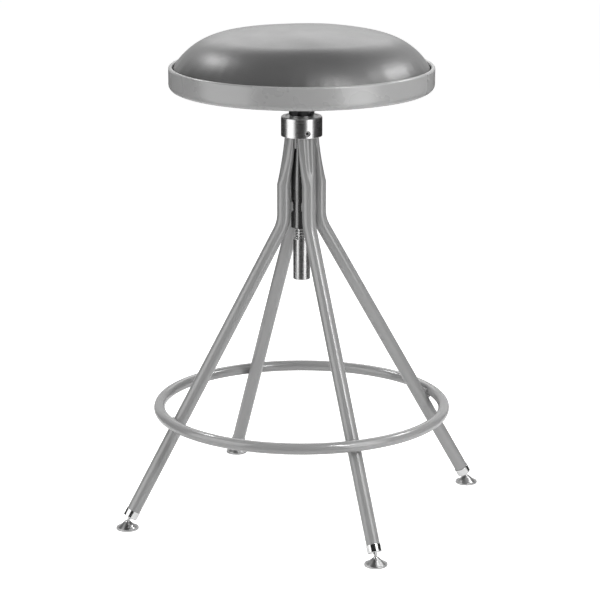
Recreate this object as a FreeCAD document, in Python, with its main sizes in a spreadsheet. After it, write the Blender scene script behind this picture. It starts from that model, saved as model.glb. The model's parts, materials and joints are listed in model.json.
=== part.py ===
"""Machinist stool: a round padded seat on a screw spindle, four splayed tube legs and a foot ring.

The stool stands on the floor at Z = 0 with its hub on the Z axis. The leg named right points along +X
and the leg named front along -Y. The seat is modelled at its lowest height.
"""
import FreeCAD, Part
import Sketcher
import os
from math import atan2, cos, degrees, radians, sin, sqrt, tan

from FreeCAD import Placement, Rotation, Vector

# Driving dimensions, in millimetres and degrees
SIZES = [
    # feet
    ("foot_circle_radius", 264.4),
    ("ball_height", 9.6),
    ("ball_radius", 3.9),
    ("ball_play", 0.1),
    ("glide_radius", 15.9),
    ("glide_lip", 1.2),
    ("glide_rim_height", 3.2),
    ("glide_rim_width", 1.7),
    ("glide_rim_round", 1.0),
    ("glide_groove", 0.5),
    ("glide_crimp_wall", 0.7),
    ("neck_radius", 2.5),
    ("boot_gap", 7.6),
    ("boot_length", 11.2),
    ("boot_wall", 0.6),
    ("boot_floor", 1.3),
    ("plug_length", 14.0),
    ("stud_tail", 7.0),
    ("fit_play", 0.08),
    # legs
    ("leg_diameter", 19.05),
    ("leg_wall", 1.5),
    ("leg_straight", 122.1),
    ("leg_bend_radius", 50.0),
    ("leg_tube_gap", 2.3),
    ("swage_length", 67.0),
    ("swage_crease_drop", 45.0),
    ("swage_crease_share", 0.5),
    ("swage_outer_radius", 23.2),
    ("swage_gap_angle", 4.5),
    ("swage_groove", 2.2),
    ("swage_clearance", 0.35),
    # hub
    ("collar_underside", 542.3),
    ("collar_height", 28.0),
    ("collar_radius", 28.85),
    ("collar_chamfer", 1.2),
    ("collar_lap", 2.5),
    ("collar_dish_radius", 23.3),
    ("collar_dish_depth", 0.8),
    ("guide_tube_radius", 15.0),
    ("guide_tube_length", 132.0),
    ("lift_nut_radius", 17.0),
    ("lift_nut_proud", 1.5),
    ("lift_nut_spigot", 9.5),
    ("set_screw_radius", 4.0),
    ("set_screw_length", 9.5),
    ("set_screw_height", 7.0),
    ("set_screw_bearing", -95.2),
    ("set_screw_socket", 2.2),
    # screw and sleeve
    ("screw_radius", 11.0),
    ("screw_length", 211.2),
    ("screw_play", 0.06),
    ("journal_radius", 6.0),
    ("sleeve_step", 1.0),
    ("sleeve_length", 58.5),
    ("sleeve_play", 0.08),
    ("sleeve_round", 1.5),
    ("sleeve_recess_depth", 7.0),
    ("sleeve_recess_wall", 2.5),
    ("keeper_washer_gap", 0.5),
    ("keeper_washer_thickness", 1.6),
    ("keeper_screw_radius", 3.0),
    ("keeper_screw_length", 16.0),
    ("keeper_head_radius", 5.2),
    ("keeper_head_height", 3.2),
    ("jam_nut_across_flats", 32.0),
    ("jam_nut_height", 11.0),
    ("jam_nut_run", 5.5),
    ("jam_nut_chamfer_share", 0.6),
    ("jam_nut_bearing", -7.5),
    # seat support
    ("spindle_weld_size", 2.5),
    ("boss_radius", 19.0),
    ("boss_height", 11.7),
    ("plate_radius", 62.0),
    ("plate_thickness", 5.0),
    ("bolt_circle_radius", 46.0),
    ("bolt_radius", 3.0),
    ("bolt_play", 0.25),
    ("bolt_head_across_flats", 10.0),
    ("bolt_head_height", 4.0),
    ("bolt_washer_radius", 5.6),
    ("bolt_washer_thickness", 1.6),
    ("tee_nut_flange_radius", 9.0),
    ("tee_nut_flange_thickness", 1.2),
    ("tee_nut_barrel_radius", 4.2),
    ("tee_nut_barrel_length", 8.5),
    # seat pan
    ("pan_radius", 184.15),
    ("pan_height", 33.0),
    ("pan_sheet", 1.5),
    ("pan_corner_radius", 9.0),
    ("pan_bead_radius", 3.0),
    ("pan_centre_hole_radius", 12.5),
    # cushion
    ("crown_radius", 570.0),
    ("shoulder_width", 60.0),
    ("shoulder_turn", 60.0),
    ("cushion_side_height", 14.3),
    ("cushion_margin", 6.9),
    ("cushion_draw_in", 4.0),
    ("cover_thickness", 1.2),
    ("cover_tuck", 30.0),
    ("cover_clearance", 0.3),
    ("board_thickness", 12.0),
    ("board_inset", 1.6),
    ("staple_width", 10.0),
    ("staple_wire", 0.7),
    ("staple_leg", 7.0),
    ("staple_inset", 12.0),
    # foot ring
    ("ring_height", 151.0),
    ("ring_tube_diameter", 15.9),
    ("ring_wall", 1.5),
    ("ring_leg_gap", 0.15),
    ("ring_weld_radius", 6.6),
    ("ring_vent_radius", 2.0),
    ("ring_vent_bearing", 112.0),
    # hub welds
    ("seam_weld_length", 12.0),
    ("tube_weld_length", 13.0),
    ("tube_weld_radius", 3.0),
    ("tube_weld_drop", 33.0),
]
LEGS = {"right": 0, "back": 90, "left": 180, "front": 270}
BOLT_COUNT = 4
STAPLE_COUNT = 16
HEX_SIDES = 6
# The bore of the foot ring is never seen, so it has flat sides
BORE_SIDES = 8

doc = FreeCAD.newDocument("machinist_stool")


class Size:
    """A number together with the expression that gives it, so that an object can be bound to it."""

    def __init__(self, value, text):
        self.value = float(value)
        self.text = text

    def __add__(self, other):
        other = as_size(other)
        return Size(self.value + other.value, f"({self.text} + {other.text})")

    def __sub__(self, other):
        other = as_size(other)
        return Size(self.value - other.value, f"({self.text} - {other.text})")

    def __mul__(self, other):
        other = as_size(other)
        return Size(self.value * other.value, f"({self.text} * {other.text})")

    def __truediv__(self, other):
        other = as_size(other)
        return Size(self.value / other.value, f"({self.text} / {other.text})")

    def __radd__(self, other):
        return as_size(other) + self

    def __rmul__(self, other):
        return as_size(other) * self

    def __rsub__(self, other):
        return as_size(other) - self

    def __neg__(self):
        return Size(-self.value, f"(-1 * {self.text})")


def as_size(number):
    if isinstance(number, Size):
        return number
    return Size(number, repr(float(number)))


def write_sheet():
    """Put the driving dimensions in a spreadsheet and give back each one as a Size."""
    sheet = doc.addObject("Spreadsheet::Sheet", "sizes")
    named = {}
    for row, (alias, value) in enumerate(SIZES, start=1):
        sheet.set(f"A{row}", alias)
        sheet.set(f"B{row}", str(value))
        sheet.setAlias(f"B{row}", alias)
        named[alias] = Size(value, f"sizes.{alias}")
    doc.recompute()
    return named


S = write_sheet()


# Derived sizes
leg_radius = S["leg_diameter"] / 2
leg_bore = leg_radius - S["leg_wall"]
leg_offset = S["guide_tube_radius"] + S["leg_tube_gap"] + leg_radius
leg_top = S["collar_underside"] + S["collar_lap"]
bend_height = S["collar_underside"] - S["leg_straight"]
swage_bottom = S["collar_underside"] - S["swage_length"]
swage_crease = S["collar_underside"] - S["swage_crease_drop"]
swage_half_angle = 180 / len(LEGS) - S["swage_gap_angle"]
leg_reach = S["foot_circle_radius"] - leg_offset
leg_drop = bend_height - S["ball_height"]
splay = atan2(leg_reach.value, leg_drop.value)
SIN = as_size(sin(splay))
COS = as_size(cos(splay))
TAN = as_size(tan(splay))
ring_radius_of_tube = S["ring_tube_diameter"] / 2
leg_at_ring = S["foot_circle_radius"] - (S["ring_height"] - S["ball_height"]) * TAN
ring_radius = leg_at_ring + (leg_radius + ring_radius_of_tube + S["ring_leg_gap"]) / COS
sleeve_radius = S["screw_radius"] + S["sleeve_step"]
guide_bore = sleeve_radius + S["sleeve_play"]
guide_bottom = leg_top - S["guide_tube_length"]
collar_top = S["collar_underside"] + S["collar_height"]
lift_nut_top = collar_top + S["lift_nut_proud"]
jam_nut_top = lift_nut_top + S["jam_nut_height"]
weld_bottom = jam_nut_top + S["jam_nut_run"]
boss_bottom = weld_bottom + S["spindle_weld_size"]
plate_bottom = boss_bottom + S["boss_height"]
pan_bottom = plate_bottom + S["plate_thickness"]
pan_top = pan_bottom + S["pan_height"]
screw_top = pan_bottom - S["cover_clearance"]
screw_bottom = screw_top - S["screw_length"]
sleeve_top = screw_bottom
sleeve_bottom = sleeve_top - S["sleeve_length"]
journal_bottom = sleeve_bottom + S["sleeve_recess_depth"] - S["sleeve_play"]
staple_room = 2 * S["staple_wire"]
tuck_bottom = pan_bottom + S["pan_sheet"] + staple_room
board_bottom = tuck_bottom + S["cover_thickness"]
board_top = board_bottom + S["board_thickness"]
cushion_radius = S["pan_radius"] - S["cushion_margin"]
cushion_foot = cushion_radius - S["cushion_draw_in"]
shoulder_start = cushion_radius - S["shoulder_width"]
crown_lean = shoulder_start / S["crown_radius"]
shoulder_turn = radians(S["shoulder_turn"].value)
shoulder_radius = S["shoulder_width"] / (sin(shoulder_turn) - crown_lean)
crown_drop = S["crown_radius"] - (S["crown_radius"] - shoulder_radius) * sqrt(1 - crown_lean.value**2)
crown_top = board_top + S["cushion_side_height"] + crown_drop - shoulder_radius * cos(shoulder_turn)


# Drawing helpers
def bind(thing, prop, size):
    thing.setExpression(prop, as_size(size).text)


def new_body(label):
    return doc.addObject("PartDesign::Body", label)


def plane_of(body, role):
    for feature in body.Origin.OriginFeatures:
        if feature.Role == role:
            return feature
    raise ValueError(role)


def new_sketch(body, name, role="XZ_Plane", lift=None):
    """A sketch on an origin plane of its body, moved along the plane's normal by lift."""
    sketch = body.newObject("Sketcher::SketchObject", name)
    sketch.AttachmentSupport = [(plane_of(body, role), "")]
    sketch.MapMode = "FlatFace"
    if lift is not None:
        sketch.AttachmentOffset = Placement(Vector(0, 0, as_size(lift).value), Rotation())
        bind(sketch, "AttachmentOffset.Base.z", lift)
    return sketch


def pin_point(sketch, geometry, point, place):
    """Hold a sketch point at its distances from the origin, bound to the sheet."""
    for kind, size in zip(("DistanceX", "DistanceY"), place):
        size = as_size(size)
        if size.value == 0:
            axis = -2 if kind == "DistanceX" else -1
            sketch.addConstraint(Sketcher.Constraint("PointOnObject", geometry, point, axis))
            continue
        number = sketch.addConstraint(Sketcher.Constraint(kind, -1, 1, geometry, point, size.value))
        bind(sketch, f"Constraints[{number}]", size)


def arc_between(start, end, radius):
    """The arc from start to end. A positive radius turns left on the way, a negative one right."""
    chord = end - start
    half = chord.Length / 2
    left = Vector(-chord.y, chord.x, 0).normalize()
    reach = sqrt(max(radius * radius - half * half, 0))
    side = 1 if radius > 0 else -1
    middle = (start + end) * 0.5
    centre = middle + left * (side * reach)
    crest = centre - left * (side * abs(radius))
    return Part.Arc(start, crest, end)


def draw(sketch, corners, closed=True):
    """Draw lines and arcs through corners: (x, y) starts a line, (x, y, radius) starts an arc."""
    flat = [Vector(as_size(c[0]).value, as_size(c[1]).value, 0) for c in corners]
    count = len(corners) if closed else len(corners) - 1
    for i in range(count):
        start, end = flat[i], flat[(i + 1) % len(flat)]
        if len(corners[i]) == 2:
            sketch.addGeometry(Part.LineSegment(start, end), False)
        else:
            sketch.addGeometry(arc_between(start, end, as_size(corners[i][2]).value), False)
    starts, ends = [], []
    for i in range(count):
        turns_right = len(corners[i]) == 3 and as_size(corners[i][2]).value < 0
        starts.append(2 if turns_right else 1)
        ends.append(1 if turns_right else 2)
    for i in range(count):
        pin_point(sketch, i, starts[i], corners[i][:2])
        following = (i + 1) % count
        if closed or following:
            sketch.addConstraint(Sketcher.Constraint("Coincident", i, ends[i], following, starts[following]))
        if len(corners[i]) == 3:
            size = as_size(corners[i][2])
            size = size if size.value > 0 else -size
            number = sketch.addConstraint(Sketcher.Constraint("Radius", i, size.value))
            bind(sketch, f"Constraints[{number}]", size)
    if not closed:
        pin_point(sketch, count - 1, ends[count - 1], corners[-1][:2])


def ring_sketch(sketch, radii, centre=(0, 0)):
    """Circles about one centre, each bound to its radius."""
    at = Vector(as_size(centre[0]).value, as_size(centre[1]).value, 0)
    for number, radius in enumerate(radii):
        radius = as_size(radius)
        sketch.addGeometry(Part.Circle(at, Vector(0, 0, 1), radius.value), False)
        pin_point(sketch, number, 3, centre)
        index = sketch.addConstraint(Sketcher.Constraint("Radius", number, radius.value))
        bind(sketch, f"Constraints[{index}]", radius)


def turned(label, corners):
    """A body turned on the Z axis from a half section of (radius, height) corners."""
    body = new_body(label)
    sketch = new_sketch(body, label + "_section")
    draw(sketch, corners)
    turn = body.newObject("PartDesign::Revolution", label + "_turn")
    turn.Profile = sketch
    turn.ReferenceAxis = (sketch, ["V_Axis"])
    turn.Angle = 360
    return body


def drill(body, name, centres, radius, top, depth):
    """Round pockets down from the height top, one at each (x, y) centre."""
    sketch = new_sketch(body, name + "_centres", "XY_Plane", top)
    for number, centre in enumerate(centres):
        at = Vector(as_size(centre[0]).value, as_size(centre[1]).value, 0)
        sketch.addGeometry(Part.Circle(at, Vector(0, 0, 1), as_size(radius).value), False)
        pin_point(sketch, number, 3, centre)
        index = sketch.addConstraint(Sketcher.Constraint("Radius", number, as_size(radius).value))
        bind(sketch, f"Constraints[{index}]", radius)
    pocket = body.newObject("PartDesign::Pocket", name)
    pocket.Profile = sketch
    pocket.Length = as_size(depth).value
    bind(pocket, "Length", depth)
    return pocket


def primitive(kind, name, **sizes):
    """A Part primitive whose sizes are bound to the sheet."""
    thing = doc.addObject("Part::" + kind, name)
    for prop, size in sizes.items():
        setattr(thing, prop, as_size(size).value)
        bind(thing, prop, size)
    return thing


def place(thing, x, y, z, rotation=None):
    """Place an object at a point whose coordinates are bound to the sheet."""
    at = [as_size(n) for n in (x, y, z)]
    thing.Placement = Placement(Vector(*(n.value for n in at)), rotation or Rotation())
    for axis, n in zip("xyz", at):
        bind(thing, f"Placement.Base.{axis}", n)
    return thing


def cut(name, base, tools):
    """Take one or more tool objects away from a base object."""
    if len(tools) > 1:
        joined = doc.addObject("Part::MultiFuse", name + "_tools")
        joined.Shapes = tools
    else:
        joined = tools[0]
    result = doc.addObject("Part::Cut", name)
    result.Base = base
    result.Tool = joined
    return result


def fuse(name, pieces):
    result = doc.addObject("Part::MultiFuse", name)
    result.Shapes = pieces
    return result


def group(name, pieces):
    """Separate solids that share one node."""
    result = doc.addObject("Part::Compound", name)
    result.Links = pieces
    return result


def around(radius, degrees):
    """The point at a bearing on a circle about the hub, as a pair of Sizes."""
    turn = radians(as_size(degrees).value)
    return radius * round(cos(turn), 9), radius * round(sin(turn), 9)


# Feet
def foot_frame(bearing, tilted):
    """Where a foot's ball sits, upright or along the leg."""
    turn = Rotation(Vector(0, 0, 1), bearing)
    if tilted:
        turn = turn * Rotation(Vector(0, 1, 0), -degrees(splay))
    return turn


def place_foot(body, bearing, tilted):
    x, y = around(S["foot_circle_radius"], bearing)
    place(body, x, y, S["ball_height"], foot_frame(bearing, tilted))
    return body


def glide_base(side, bearing):
    """The disc that stands on the floor: a cone inside a thick rim, crimped round the ball at its top."""
    floor = -S["ball_height"]
    top = S["glide_lip"]
    rim_top = floor + S["glide_rim_height"]
    rim = S["glide_radius"]
    rim_inner = rim - S["glide_rim_width"]
    soft = S["glide_rim_round"]
    socket = S["ball_radius"] + S["ball_play"]
    mouth = as_size(sqrt(socket.value**2 - top.value**2))
    corners = [
        (0, floor),
        (rim - soft, floor),
        (rim, floor + soft),
        (rim, rim_top - soft),
        (rim - soft / 2, rim_top),
        (rim_inner, rim_top),
        (rim_inner - S["glide_groove"], rim_top - S["glide_groove"]),
        (mouth + S["glide_crimp_wall"], top),
        (mouth, top, -socket),
        (socket, 0, -socket),
        (0, -socket),
    ]
    return place_foot(turned("glide_base_" + side, corners), bearing, False)


def ball_stud(side, bearing):
    """The ball, its neck and the plug that grips the bore of the leg."""
    ball = S["ball_radius"]
    neck = S["neck_radius"]
    shoulder = as_size(sqrt(ball.value**2 - neck.value**2))
    plug_bottom = S["boot_gap"] + S["boot_floor"] + S["fit_play"]
    plug_top = plug_bottom + S["plug_length"]
    plug = leg_bore - S["fit_play"]
    corners = [
        (0, -ball, ball),
        (ball, 0, ball),
        (neck, shoulder),
        (neck, plug_bottom),
        (plug, plug_bottom),
        (plug, plug_top),
        (neck, plug_top),
        (neck, plug_top + S["stud_tail"]),
        (0, plug_top + S["stud_tail"]),
    ]
    return place_foot(turned("ball_stud_" + side, corners), bearing, True)


def boot(side, bearing):
    """The plated cup on the end of a leg."""
    bottom = S["boot_gap"]
    inner = leg_radius + S["fit_play"]
    outer = inner + S["boot_wall"]
    hole = S["neck_radius"] + S["fit_play"]
    soft = S["boot_floor"]
    corners = [
        (hole, bottom),
        (outer - soft, bottom),
        (outer, bottom + soft),
        (outer, bottom + S["boot_length"]),
        (inner, bottom + S["boot_length"]),
        (inner, bottom + S["boot_floor"]),
        (hole, bottom + S["boot_floor"]),
    ]
    return place_foot(turned("boot_" + side, corners), bearing, True)


# Legs
# Half of a leg section from its groove to its inside: angle on the round tube, depth, share of the half angle
SWAGE_STATIONS = [
    (0, "groove", 0),
    (20, "slope", 0.2),
    (40, "ridge", 0.45),
    (62, "ridge", 0.7),
    (85, "shoulder", 0.92),
    (105, "edge", 1),
    (130, "inside", 0.8),
    (180, "inside", 0),
]
# Share of the groove's depth left at its slope, and of the crescent's thickness lost at its shoulder
GROOVE_SLOPE = 0.6
SHOULDER_FALL = 0.2


def swage_stations(inward):
    """Points round a leg section in pairs: on the round tube, and on the crescent that hugs the guide tube.

    Each is an (angle on the tube, radius and angle about the hub) triple, from the groove to the inside.
    """
    outer = S["swage_outer_radius"].value - inward
    inner = S["guide_tube_radius"].value + S["swage_clearance"].value + inward
    middle = (outer + inner) / 2
    spread = swage_half_angle.value - degrees(inward / middle)
    depths = {
        "groove": outer - S["swage_groove"].value,
        "slope": outer - S["swage_groove"].value * GROOVE_SLOPE,
        "ridge": outer,
        "shoulder": outer - (outer - inner) * SHOULDER_FALL,
        "edge": middle,
        "inside": inner,
    }
    return [(turn, depths[depth], spread * share) for turn, depth, share in SWAGE_STATIONS]


def swage_points(blend, inward):
    """Points on both halves of a leg section: round at blend 0, a grooved crescent at blend 1."""
    half = []
    for turn, radius, bearing in swage_stations(inward):
        tube = leg_radius.value - inward
        circle = Vector(leg_offset.value + tube * cos(radians(turn)), tube * sin(radians(turn)), 0)
        crescent = Vector(radius * cos(radians(bearing)), radius * sin(radians(bearing)), 0)
        half.append(circle * (1 - blend) + crescent * blend)
    return half


def swage_section(body, name, height, blend, inward):
    """A closed section of arcs: groove, ridge and end cap on each side, and one arc along the inside."""
    sketch = new_sketch(body, name, "XY_Plane", height)
    half = swage_points(blend, inward)
    mirrored = [Vector(point.x, -point.y, 0) for point in half]
    for start in (0, 2, 4):
        sketch.addGeometry(Part.Arc(*half[start:start + 3]), False)
    sketch.addGeometry(Part.Arc(half[6], half[7], mirrored[6]), False)
    for start in (4, 2, 0):
        sketch.addGeometry(Part.Arc(*reversed(mirrored[start:start + 3])), False)
    return sketch


def loft_leg_end(body, name, kind, inward):
    """Loft the swaged end: round tube, crease, then straight to the crescent at the top."""
    loft = body.newObject("PartDesign::" + kind, name)
    sections = [
        swage_section(body, name + "_round", swage_bottom, 0, inward),
        swage_section(body, name + "_crease", swage_crease, S["swage_crease_share"].value, inward),
        swage_section(body, name + "_crescent", leg_top, 1, inward),
    ]
    loft.Profile = sections[0]
    loft.Sections = sections[1:]
    loft.Ruled = True
    return loft


def leg(side, bearing):
    """A leg: straight beside the guide tube, bent out to its splay, its top swaged round the tube."""
    body = new_body("leg_" + side)
    tangent = S["leg_bend_radius"] * tan(splay / 2)
    end = S["boot_gap"] + S["boot_floor"] + S["fit_play"]
    path = new_sketch(body, f"leg_{side}_path")
    corners = [
        (leg_offset, swage_bottom),
        (leg_offset, bend_height + tangent, S["leg_bend_radius"]),
        (leg_offset + tangent * SIN, bend_height - tangent * COS),
        (S["foot_circle_radius"] - end * SIN, S["ball_height"] + end * COS),
    ]
    draw(path, corners, closed=False)
    edges = [f"Edge{n + 1}" for n in range(len(corners) - 1)]
    for kind, radius in (("Additive", leg_radius), ("Subtractive", leg_bore)):
        ring = new_sketch(body, f"leg_{side}_{kind}_round", "XY_Plane", swage_bottom)
        ring_sketch(ring, [radius], (leg_offset, 0))
        pipe = body.newObject(f"PartDesign::{kind}Pipe", f"leg_{side}_{kind}_pipe")
        pipe.Profile = ring
        pipe.Spine = (path, edges)
        inward = 0 if kind == "Additive" else S["leg_wall"].value
        loft_leg_end(body, f"leg_{side}_{kind}_swage", f"{kind}Loft", inward)
    body.Placement = Placement(Vector(), Rotation(Vector(0, 0, 1), bearing))
    return body


# Foot ring
def foot_ring():
    """A closed ring of round tube outside the legs, with the small hole that vents it for welding."""
    body = new_body("foot_ring")
    section = new_sketch(body, "foot_ring_section")
    ring_sketch(section, [ring_radius_of_tube], (ring_radius, S["ring_height"]))
    turn = body.newObject("PartDesign::Revolution", "foot_ring_turn")
    turn.Profile = section
    turn.ReferenceAxis = (section, ["V_Axis"])
    turn.Angle = 360
    hollow = new_sketch(body, "foot_ring_bore")
    bore = (ring_radius_of_tube - S["ring_wall"]) / cos(radians(180 / BORE_SIDES))
    turns = [radians(360 / BORE_SIDES * (side + 0.5)) for side in range(BORE_SIDES)]
    draw(hollow, [(ring_radius + bore * cos(t), S["ring_height"] + bore * sin(t)) for t in turns])
    groove = body.newObject("PartDesign::Groove", "foot_ring_hollow")
    groove.Profile = hollow
    groove.ReferenceAxis = (hollow, ["V_Axis"])
    groove.Angle = 360
    centre = around(ring_radius, S["ring_vent_bearing"])
    drill(body, "foot_ring_vent", [centre], S["ring_vent_radius"], S["ring_height"], S["ring_tube_diameter"])
    return body


def leg_rod(name, bearing):
    """A solid rod in the place of a leg's straight lower part, to cut welds to."""
    length = S["foot_circle_radius"] / SIN
    rod = primitive("Cylinder", name, Radius=leg_radius, Height=length)
    x, y = around(S["foot_circle_radius"], bearing)
    return place(rod, x, y, S["ball_height"], foot_frame(bearing, True))


def ring_welds():
    """A bead round each place where the ring touches a leg, centred on the line where the tubes meet."""
    torus = primitive("Torus", "ring_core", Radius1=ring_radius, Radius2=ring_radius_of_tube)
    place(torus, 0, 0, S["ring_height"])
    touch = ring_radius - ring_radius_of_tube * COS
    touch_height = S["ring_height"] - ring_radius_of_tube * SIN
    beads = []
    for side, bearing in LEGS.items():
        bead = primitive("Sphere", f"ring_bead_{side}", Radius=S["ring_weld_radius"])
        x, y = around(touch, bearing)
        place(bead, x, y, touch_height)
        beads.append(cut(f"ring_weld_{side}", bead, [leg_rod(f"ring_weld_rod_{side}", bearing), torus]))
    return group("ring_welds", beads)


# Hub
def guide_tube():
    outer = S["guide_tube_radius"]
    corners = [
        (guide_bore, guide_bottom),
        (outer, guide_bottom),
        (outer, leg_top),
        (guide_bore, leg_top),
    ]
    return turned("guide_tube", corners)


def hub_collar():
    """The plated collar that caps the legs and holds the lift nut, with a dished top and a grub screw."""
    bottom = S["collar_underside"]
    outer = S["collar_radius"]
    soft = S["collar_chamfer"]
    bore = S["lift_nut_radius"] + S["fit_play"]
    lap = S["swage_outer_radius"] + S["swage_clearance"]
    dish = S["collar_dish_radius"]
    body = turned("hub_collar", [
        (lap, bottom),
        (outer - soft, bottom),
        (outer, bottom + soft),
        (outer, collar_top - soft),
        (outer - soft, collar_top),
        (dish, collar_top),
        (dish - S["collar_dish_depth"], collar_top - S["collar_dish_depth"]),
        (bore, collar_top - S["collar_dish_depth"]),
        (bore, leg_top),
        (lap, leg_top),
    ])
    hole = primitive("Cylinder", "set_screw_hole", Radius=S["set_screw_radius"] + S["fit_play"], Height=outer)
    place_set_screw(hole, 0)
    doc.getObject("hub_collar").Label = "hub_collar_blank"
    drilled = cut("hub_collar_drilled", body, [hole])
    drilled.Label = "hub_collar"
    return drilled


def place_set_screw(thing, reach):
    """Lay a Z-built object along the grub screw's line, its foot at a distance from the hub's axis."""
    bearing = S["set_screw_bearing"].value
    turn = Rotation(Vector(0, 0, 1), bearing) * Rotation(Vector(0, 1, 0), 90)
    x, y = around(as_size(reach), bearing)
    place(thing, x, y, S["collar_underside"] + S["set_screw_height"], turn)
    return thing


def collar_set_screw():
    """The grub screw through the collar wall, tight on the lift nut, with a hexagon socket."""
    shank = primitive("Cylinder", "set_screw_shank", Radius=S["set_screw_radius"], Height=S["set_screw_length"])
    socket = primitive("Prism", "set_screw_hex", Circumradius=S["set_screw_socket"],
                       Height=S["set_screw_length"])
    socket.Polygon = HEX_SIDES
    foot = S["lift_nut_radius"] + S["fit_play"]
    place_set_screw(shank, foot)
    place_set_screw(socket, foot + S["set_screw_length"] / 2)
    return cut("collar_set_screw", shank, [socket])


def lift_nut():
    """The threaded bush in the collar. It sits on the guide tube and its spigot centres the tube."""
    bore = S["screw_radius"] + S["screw_play"]
    spigot = guide_bore - S["fit_play"]
    return turned("lift_nut", [
        (bore, leg_top - S["lift_nut_spigot"]),
        (spigot, leg_top - S["lift_nut_spigot"]),
        (spigot, leg_top),
        (S["lift_nut_radius"], leg_top),
        (S["lift_nut_radius"], lift_nut_top),
        (bore, lift_nut_top),
    ])


def bead(name, length, radius):
    """A weld bead along Z that tapers towards both ends."""
    end = radius / 2
    return turned(name, [
        (0, -length / 2),
        (end, -length / 2),
        (radius, radius - length / 2),
        (radius, length / 2 - radius),
        (end, length / 2),
        (0, length / 2),
    ])


def hub_welds():
    """Short seams between the swaged leg tops, and beads that tie each leg to the guide tube."""
    beads = []
    tube = primitive("Cylinder", "tube_core", Radius=S["guide_tube_radius"], Height=leg_top)
    half_gap = sin(radians(S["swage_gap_angle"].value))
    seam_radius = S["swage_outer_radius"] * (half_gap / (1 + half_gap))
    seam_middle = S["swage_outer_radius"] - seam_radius
    seam_height = S["collar_underside"] - S["seam_weld_length"] / 2 - S["collar_lap"] / 2
    flank = degrees(atan2(leg_radius.value / 2, leg_offset.value - leg_radius.value))
    reach = S["guide_tube_radius"] + S["leg_tube_gap"]
    for side, bearing in LEGS.items():
        seam = bead("seam_bead_" + side, S["seam_weld_length"], seam_radius)
        x, y = around(seam_middle, bearing + 180 / len(LEGS))
        beads.append(place(seam, x, y, seam_height))
        rod = primitive("Cylinder", "leg_core_" + side, Radius=leg_radius, Height=swage_bottom)
        x, y = around(leg_offset, bearing)
        place(rod, x, y, 0)
        for hand, turn in (("near", -flank), ("far", flank)):
            blob = bead(f"tube_bead_{hand}_{side}", S["tube_weld_length"], S["tube_weld_radius"])
            x, y = around(reach, bearing + turn)
            place(blob, x, y, swage_bottom - S["tube_weld_drop"])
            beads.append(cut(f"tube_weld_{hand}_{side}", blob, [rod, tube]))
    return group("hub_welds", beads)


# Screw and sleeve
def spindle():
    """The lift screw, with a plain journal for the sleeve at its lower end and a tapped end."""
    hole = S["keeper_screw_radius"] + S["fit_play"]
    depth = S["keeper_screw_length"] + S["screw_play"]
    return turned("spindle", [
        (hole, journal_bottom),
        (S["journal_radius"], journal_bottom),
        (S["journal_radius"], screw_bottom),
        (S["screw_radius"], screw_bottom),
        (S["screw_radius"], screw_top),
        (0, screw_top),
        (0, journal_bottom + depth),
        (hole, journal_bottom + depth),
    ])


def guide_sleeve():
    """The plated sleeve that runs free on the journal and slides in the guide tube."""
    soft = S["sleeve_round"]
    bore = S["journal_radius"] + S["screw_play"]
    recess = sleeve_radius - S["sleeve_recess_wall"]
    recess_top = sleeve_bottom + S["sleeve_recess_depth"]
    outer = sleeve_radius
    return turned("guide_sleeve", [
        (recess, sleeve_bottom),
        (outer - soft, sleeve_bottom, soft),
        (outer, sleeve_bottom + soft),
        (outer, sleeve_top - soft / 2),
        (outer - soft / 2, sleeve_top - S["screw_play"]),
        (bore, sleeve_top - S["screw_play"]),
        (bore, recess_top),
        (recess, recess_top),
    ])


def keeper_washer():
    top = journal_bottom
    hole = S["keeper_screw_radius"] + S["fit_play"]
    bottom = top - S["keeper_washer_thickness"]
    edge = sleeve_radius - S["sleeve_recess_wall"] - S["keeper_washer_gap"]
    return turned("keeper_washer", [(hole, bottom), (edge, bottom), (edge, top), (hole, top)])


def keeper_screw():
    """The screw that holds the washer and sleeve on the spindle's lower end."""
    under_head = journal_bottom - S["keeper_washer_thickness"]
    head = S["keeper_head_radius"]
    bottom = under_head - S["keeper_head_height"]
    body = turned("keeper_screw", [
        (0, bottom),
        (head - S["keeper_head_height"] / 2, bottom, head),
        (head, under_head),
        (S["keeper_screw_radius"], under_head),
        (S["keeper_screw_radius"], journal_bottom + S["keeper_screw_length"]),
        (0, journal_bottom + S["keeper_screw_length"]),
    ])
    return body


def hexagon(name, across_flats, height, chamfer_share):
    """A hexagon with its upper and lower corners turned off."""
    corner = across_flats / sqrt(3)
    blank = primitive("Prism", name + "_hex", Circumradius=corner, Height=height)
    blank.Polygon = HEX_SIDES
    flat = across_flats / 2
    drop = (corner - flat) * chamfer_share
    turned_blank = turned(name + "_turned", [
        (0, 0),
        (flat, 0),
        (corner, drop),
        (corner, height - drop),
        (flat, height),
        (0, height),
    ])
    both = doc.addObject("Part::Common", name)
    both.Base = blank
    both.Tool = turned_blank
    return both


def jam_nut():
    """The dark nut on the screw that locks the seat height against the hub."""
    solid = hexagon("jam_nut_blank", S["jam_nut_across_flats"], S["jam_nut_height"], S["jam_nut_chamfer_share"])
    bore = primitive("Cylinder", "jam_nut_bore", Radius=S["screw_radius"] + S["screw_play"],
                     Height=S["jam_nut_height"])
    nut = cut("jam_nut", solid, [bore])
    return place(nut, 0, 0, lift_nut_top, Rotation(Vector(0, 0, 1), S["jam_nut_bearing"].value))


# Seat support
def bolt_places():
    step = 360 / BOLT_COUNT
    return [around(S["bolt_circle_radius"], step * (n + 0.5)) for n in range(BOLT_COUNT)]


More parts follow.
